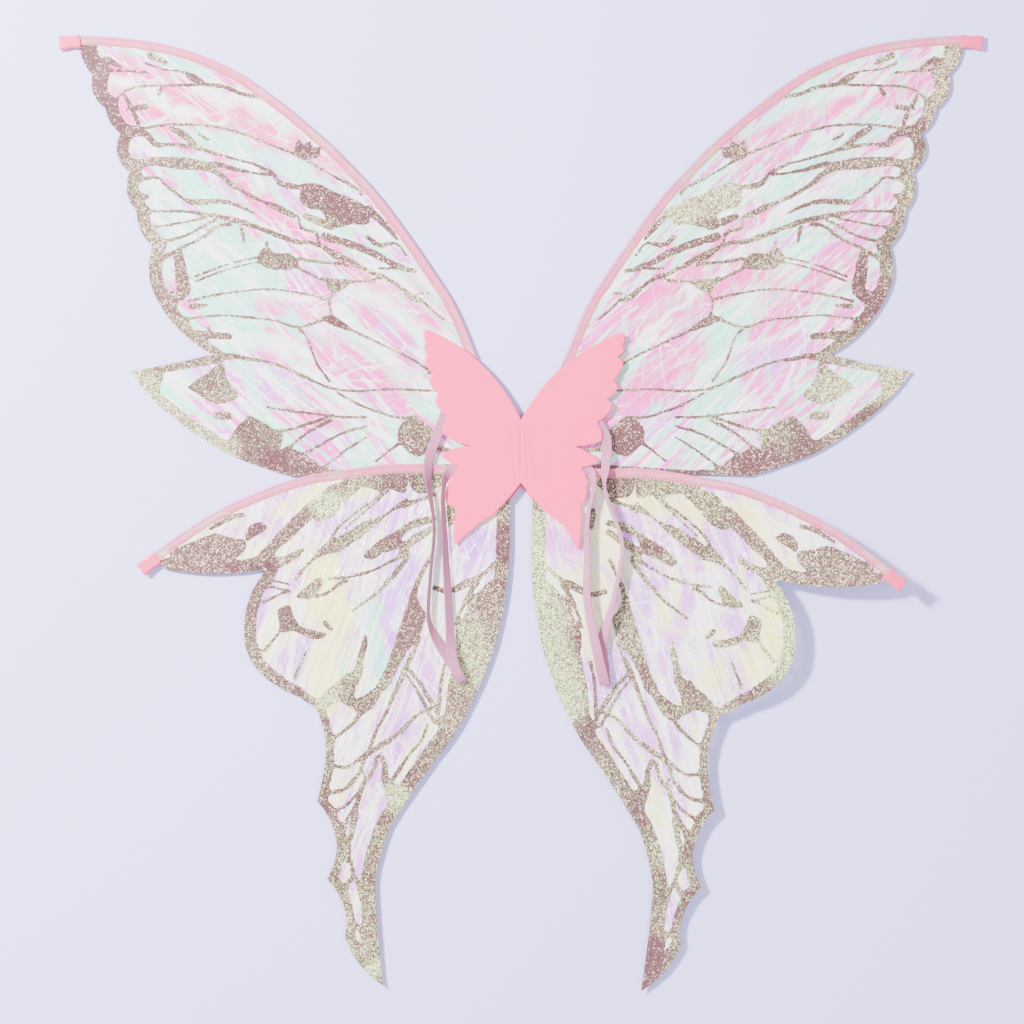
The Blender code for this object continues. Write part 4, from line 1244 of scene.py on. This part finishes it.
def stitch_bars(path, normals, z):
    """Short thread bars along the ribbon's inner edge, on both faces."""
    along = travelled(path)
    points = []
    faces = []
    for at in np.arange(3.0, along[-1] - 4.0, STITCH_EVERY):
        ends = []
        for s in (at, at + STITCH_LENGTH):
            p, n = (np.array([np.interp(s, along, column) for column in rows.T])
                    for rows in (path, normals))
            ends.append((p, unit(n)))
        for up in (1.0, -1.0):
            start = len(points)
            for p, n in ends:
                points += [(*(p + n * u), z + up * v) for u, v in STITCH_PROFILE]
            for i in range(start, start + 3):
                face = (i, i + 4, i + 5, i + 1)
                faces.append(face if up > 0 else face[::-1])
            faces.append(tuple(range(start, start + 4)))
            faces.append(tuple(range(start + 7, start + 3, -1)))
    return points, faces


def make_tab(side, kind, look):
    """A short length of folded ribbon, pinched where it is sewn over the wire's tip."""
    wing = WINGS[kind]
    path = wire_stations(wing["wire"])
    along = unit(path[-1] - path[-2])
    normal = np.array([-along[1], along[0]])
    start = path[-2] - along * 1.6
    reach = float((path[-1] - start) @ along) + 2.4
    last = len(TAB_SHARES) - 1
    rows = []
    for k, t in enumerate(TAB_SHARES):
        waist = 1.0 - 0.16 * math.exp(-((t - 0.45) / 0.22) ** 2)
        wide = 6.9 * waist + 0.35 * t
        high = 2.15 - 0.25 * (t - 0.5) ** 2 - (0.25 if k in (0, last - 1) else 0.0)
        if k == last:
            wide, high = wide * 0.6, 0.4
        for turn in np.linspace(0.0, 2.0 * math.pi, TAB_TURNS, endpoint=False):
            c, s = math.cos(turn), math.sin(turn)
            u = wide * math.copysign(abs(c) ** 0.45, c) - 4.5
            v = high * math.copysign(abs(s) ** 0.6, s)
            v += 0.12 * math.sin(u * 1.9) * (1.0 if s > 0 else -1.0)
            p = start + along * reach * t + normal * u
            rows.append((p[0], p[1], wing["z"] + v))
    faces = ring_faces(last + 1, TAB_TURNS).tolist()
    faces.append(range(last * TAB_TURNS, (last + 1) * TAB_TURNS))
    add_piece(side + "_" + kind + "_tab", side, rows, faces, look,
              wing["lay"][side], stands_for=side + "_" + kind + "_tip_tab")


# ------------------------------------------------------------------ covers

def cover_relief(x, y):
    """Creases and slight swell of the front cover."""
    height = 0.35 * np.sin(x / 23.0 + 0.4) * np.sin(y / 31.0)
    for centre, deep, wide in ((-6, 0.5, 1.5), (1, 0.7, 1.3), (6, 0.5, 1.5),
                               (12, 0.45, 1.8), (30, 0.3, 4.0)):
        bent = centre + 1.5 * np.sin(y / 17.0 + centre)
        reach = smooth_step(y, 20.0, 34.0) * smooth_step(-y, -96.0, -80.0)
        height -= deep * np.exp(-((x - bent) / wide) ** 2) * reach
    return height


def make_cover(which, side, outline, low, look):
    """One half of a felt cover, closed on the rim and open on the fold line."""
    low_corner = (0.0, outline[:, 1].min() - 2 * COVER_GRID)
    high_corner = outline.max(axis=0) + 2 * COVER_GRID
    gx, gy = grid_between(low_corner, high_corner, COVER_GRID)
    mirrored = outline[::-1] * (-1.0, 1.0)
    whole = np.concatenate([outline, mirrored[1:-1]])
    points, faces = march(inside_distance(gx, gy, whole), gx, gy)
    x, y = points.T
    rim = inside_distance(x, y, whole)
    rounding = 0.22 * (1.0 - smooth_step(rim, 0.0, 1.2))
    inner = smooth_step(rim, 2.0, 14.0)
    if which == "front":
        rise = cover_relief(SIDES[side] * x, y) * inner
    else:
        rise = 0.12 * np.sin(x / 19.0) * np.sin(y / 23.0) * inner
    bottom = low + rise + rounding
    top = low + rise + COVER_THICK - rounding
    if which == "rear":
        bottom = np.maximum(bottom, 0.02)
        top = np.maximum(np.minimum(top, 1.12), bottom + 0.5)
    body, every = slab(points, faces, top, bottom)
    on_fold = np.all(np.abs(body[every][:, :, 0]) < 1e-6, axis=1)
    cover = add_mesh(side + "_" + which + "_felt", placed(body, side),
                     outward(every[~on_fold], side), look)
    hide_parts(which + "_cover")
    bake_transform(cover)


# ------------------------------------------------------------------ straps

def make_strap(side, look):
    """A flat elastic loop, swept along its centreline with its own twist."""
    stations = even_stations(STRAPS[side], STRAP_STATIONS)
    centres = stations[:, :3]
    under = [(u, -v) for u, v in STRAP_TOP[::-1]]
    profile = [under[-1]] + STRAP_TOP + under[:-1]
    count = len(profile)
    points = []
    for centre, direction, row in zip(centres, directions(centres), stations):
        across = unit(row[3:] - direction * float(row[3:] @ direction))
        up = np.cross(direction, across)
        points += [centre + across * u + up * v for u, v in profile]
    faces = ring_faces(STRAP_STATIONS, count)[:, [0, 3, 2, 1]].tolist()
    faces.append(range(count)[::-1])
    faces.append(range((STRAP_STATIONS - 1) * count, STRAP_STATIONS * count))
    strap = add_piece(side + "_shoulder_strap", side, points, faces, look,
                      stands_for=side + "_strap")
    layer = strap.data.uv_layers.new(name="strap")
    along = np.linspace(0.0, 558.0, STRAP_STATIONS) / 100.0
    for loop in strap.data.loops:
        k, i = divmod(loop.vertex_index, count)
        layer.data[loop.index].uv = (profile[i][0] / 5.0, along[k])


def make_pad(look):
    """The foam pad between the covers."""
    gx, gy = np.meshgrid(np.linspace(-4.5, 4.5, 9), np.linspace(36.0, 84.0, 25))
    crown = (1.0 - (gx / 4.6) ** 4) * (1.0 - ((gy - 60.0) / 24.3) ** 8)
    swell = 1.6 + 1.6 * np.clip(crown, 0.0, 1.0)
    points = [np.column_stack([gx.ravel(), gy.ravel(), (4.6 + sign * swell).ravel()])
              for sign in (1.0, -1.0)]
    index = np.arange(gx.size).reshape(gx.shape)
    corners = (index[:-1, :-1], index[:-1, 1:], index[1:, 1:], index[1:, :-1])
    upper = np.column_stack([corner.ravel() for corner in corners])
    lower = upper[:, [0, 3, 2, 1]] + gx.size
    rim = np.concatenate([index[0, :-1], index[:-1, -1], index[-1, :0:-1], index[:0:-1, 0]])
    beyond = np.roll(rim, -1)
    walls = np.column_stack([rim, rim + gx.size, beyond + gx.size, beyond])
    pad = add_mesh("middle_pad", np.concatenate(points) * MM,
                   np.concatenate([upper, lower, walls]), look)
    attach(pad, "centre")
    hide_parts("centre_pad")


# --------------------------------------------------------- light and camera

def area_light(name, where, at, size, watts, colour=(1, 1, 1)):
    data = bpy.data.lights.new(name, "AREA")
    data.shape = "SQUARE"
    data.size = size
    data.energy = watts
    data.color = colour
    lamp = bpy.data.objects.new(name, data)
    lamp.location = where
    lamp.rotation_euler = (Vector(at) - Vector(where)).to_track_quat("-Z", "Y").to_euler()
    bpy.context.collection.objects.link(lamp)


def make_studio():
    floor_look = material("floor", 0.9, (0.56, 0.52, 0.97))
    floor = add_mesh("floor", [(-4, -4, 0), (4, -4, 0), (4, 4, 0), (-4, 4, 0)],
                     [(0, 1, 2, 3)], floor_look, smooth=False)
    floor.location.z = -0.0002
    world = bpy.data.worlds.new("studio")
    world.use_nodes = True
    world.node_tree.nodes["Background"].inputs["Color"].default_value = (0.93, 0.94, 1.0, 1)
    world.node_tree.nodes["Background"].inputs["Strength"].default_value = 1.2
    bpy.context.scene.world = world
    area_light("key", (-1.87, 1.05, 1.95), (0, 0, 0), 0.32, 430.0, (1.0, 0.98, 0.98))
    area_light("fill", (1.0, -0.8, 2.6), (0, 0, 0), 2.2, 65.0, (0.97, 0.97, 1.0))


def make_camera():
    data = bpy.data.cameras.new("camera")
    data.lens = 85.0
    data.sensor_width = 36.0
    data.clip_end = 20.0
    camera = bpy.data.objects.new("camera", data)
    camera.location = (-0.009, -0.001, 2.424)
    bpy.context.collection.objects.link(camera)
    bpy.context.scene.camera = camera


# -------------------------------------------------------------------- main

def cad_materials():
    """Looks of the CAD nodes that stay in view, by the end of their names."""
    looks = {
        "_board": plain_material("white_board", (225, 225, 220), (205, 205, 202), 0.55, 300.0),
        "_wire": plain_material("spring_wire", (190, 190, 195), (150, 150, 155), 0.3, 800.0,
                                metallic=1.0),
        "_wire_cap": plain_material("rubber_cap", (224, 158, 172), (206, 136, 152), 0.75,
                                    400.0),
        "_root_tape": plain_material("clear_tape", (228, 226, 222), (212, 210, 208), 0.35,
                                     250.0),
    }
    for obj in list(bpy.data.objects):
        if obj.type != "MESH" or "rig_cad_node" not in obj:
            continue
        for end, look in looks.items():
            if obj.name.endswith(end):
                obj.data.materials.clear()
                obj.data.materials.append(look)


def main():
    make_camera()
    make_studio()
    cad_materials()
    felt = felt_material("pink_felt", (0.99, 0.085, 0.26), (0.95, 0.02, 0.13))
    elastic = elastic_material()
    for side in SIDES:
        make_strap(side, elastic)
    make_pad(felt)
    tab = ribbon_material("tab_ribbon", 1.0, (0.86, 0.06, 0.20), (0.66, 0.03, 0.12))
    glitter = glitter_material()
    hem_looks = {
        "ribbon": ribbon_material("organza_ribbon", 0.56, (0.98, 0.24, 0.44),
                                  (0.93, 0.13, 0.30)),
        "thread": plain_material("hem_thread", (0.55, 0.05, 0.12), (0.45, 0.04, 0.09), 0.6,
                                 900.0),
    }
    shapes = {kind: wing_shapes(wing) for kind, wing in WINGS.items()}
    front = {side: bowed_edge(FRONT_COVER[side])[:, :2] for side in SIDES}
    rear = bowed_edge(REAR_COVER)[:, :2] * REAR_GROWTH + np.array([0.0, REAR_SHIFT])
    for side in SIDES:
        for kind in WINGS:
            make_film(side, kind, shapes[kind], glitter)
            make_hem(side, kind, hem_looks)
            make_tab(side, kind, tab)
        make_cover("front", side, front[side], FRONT_COVER_Z, felt)
        make_cover("rear", side, rear, 0.0, felt)


main()
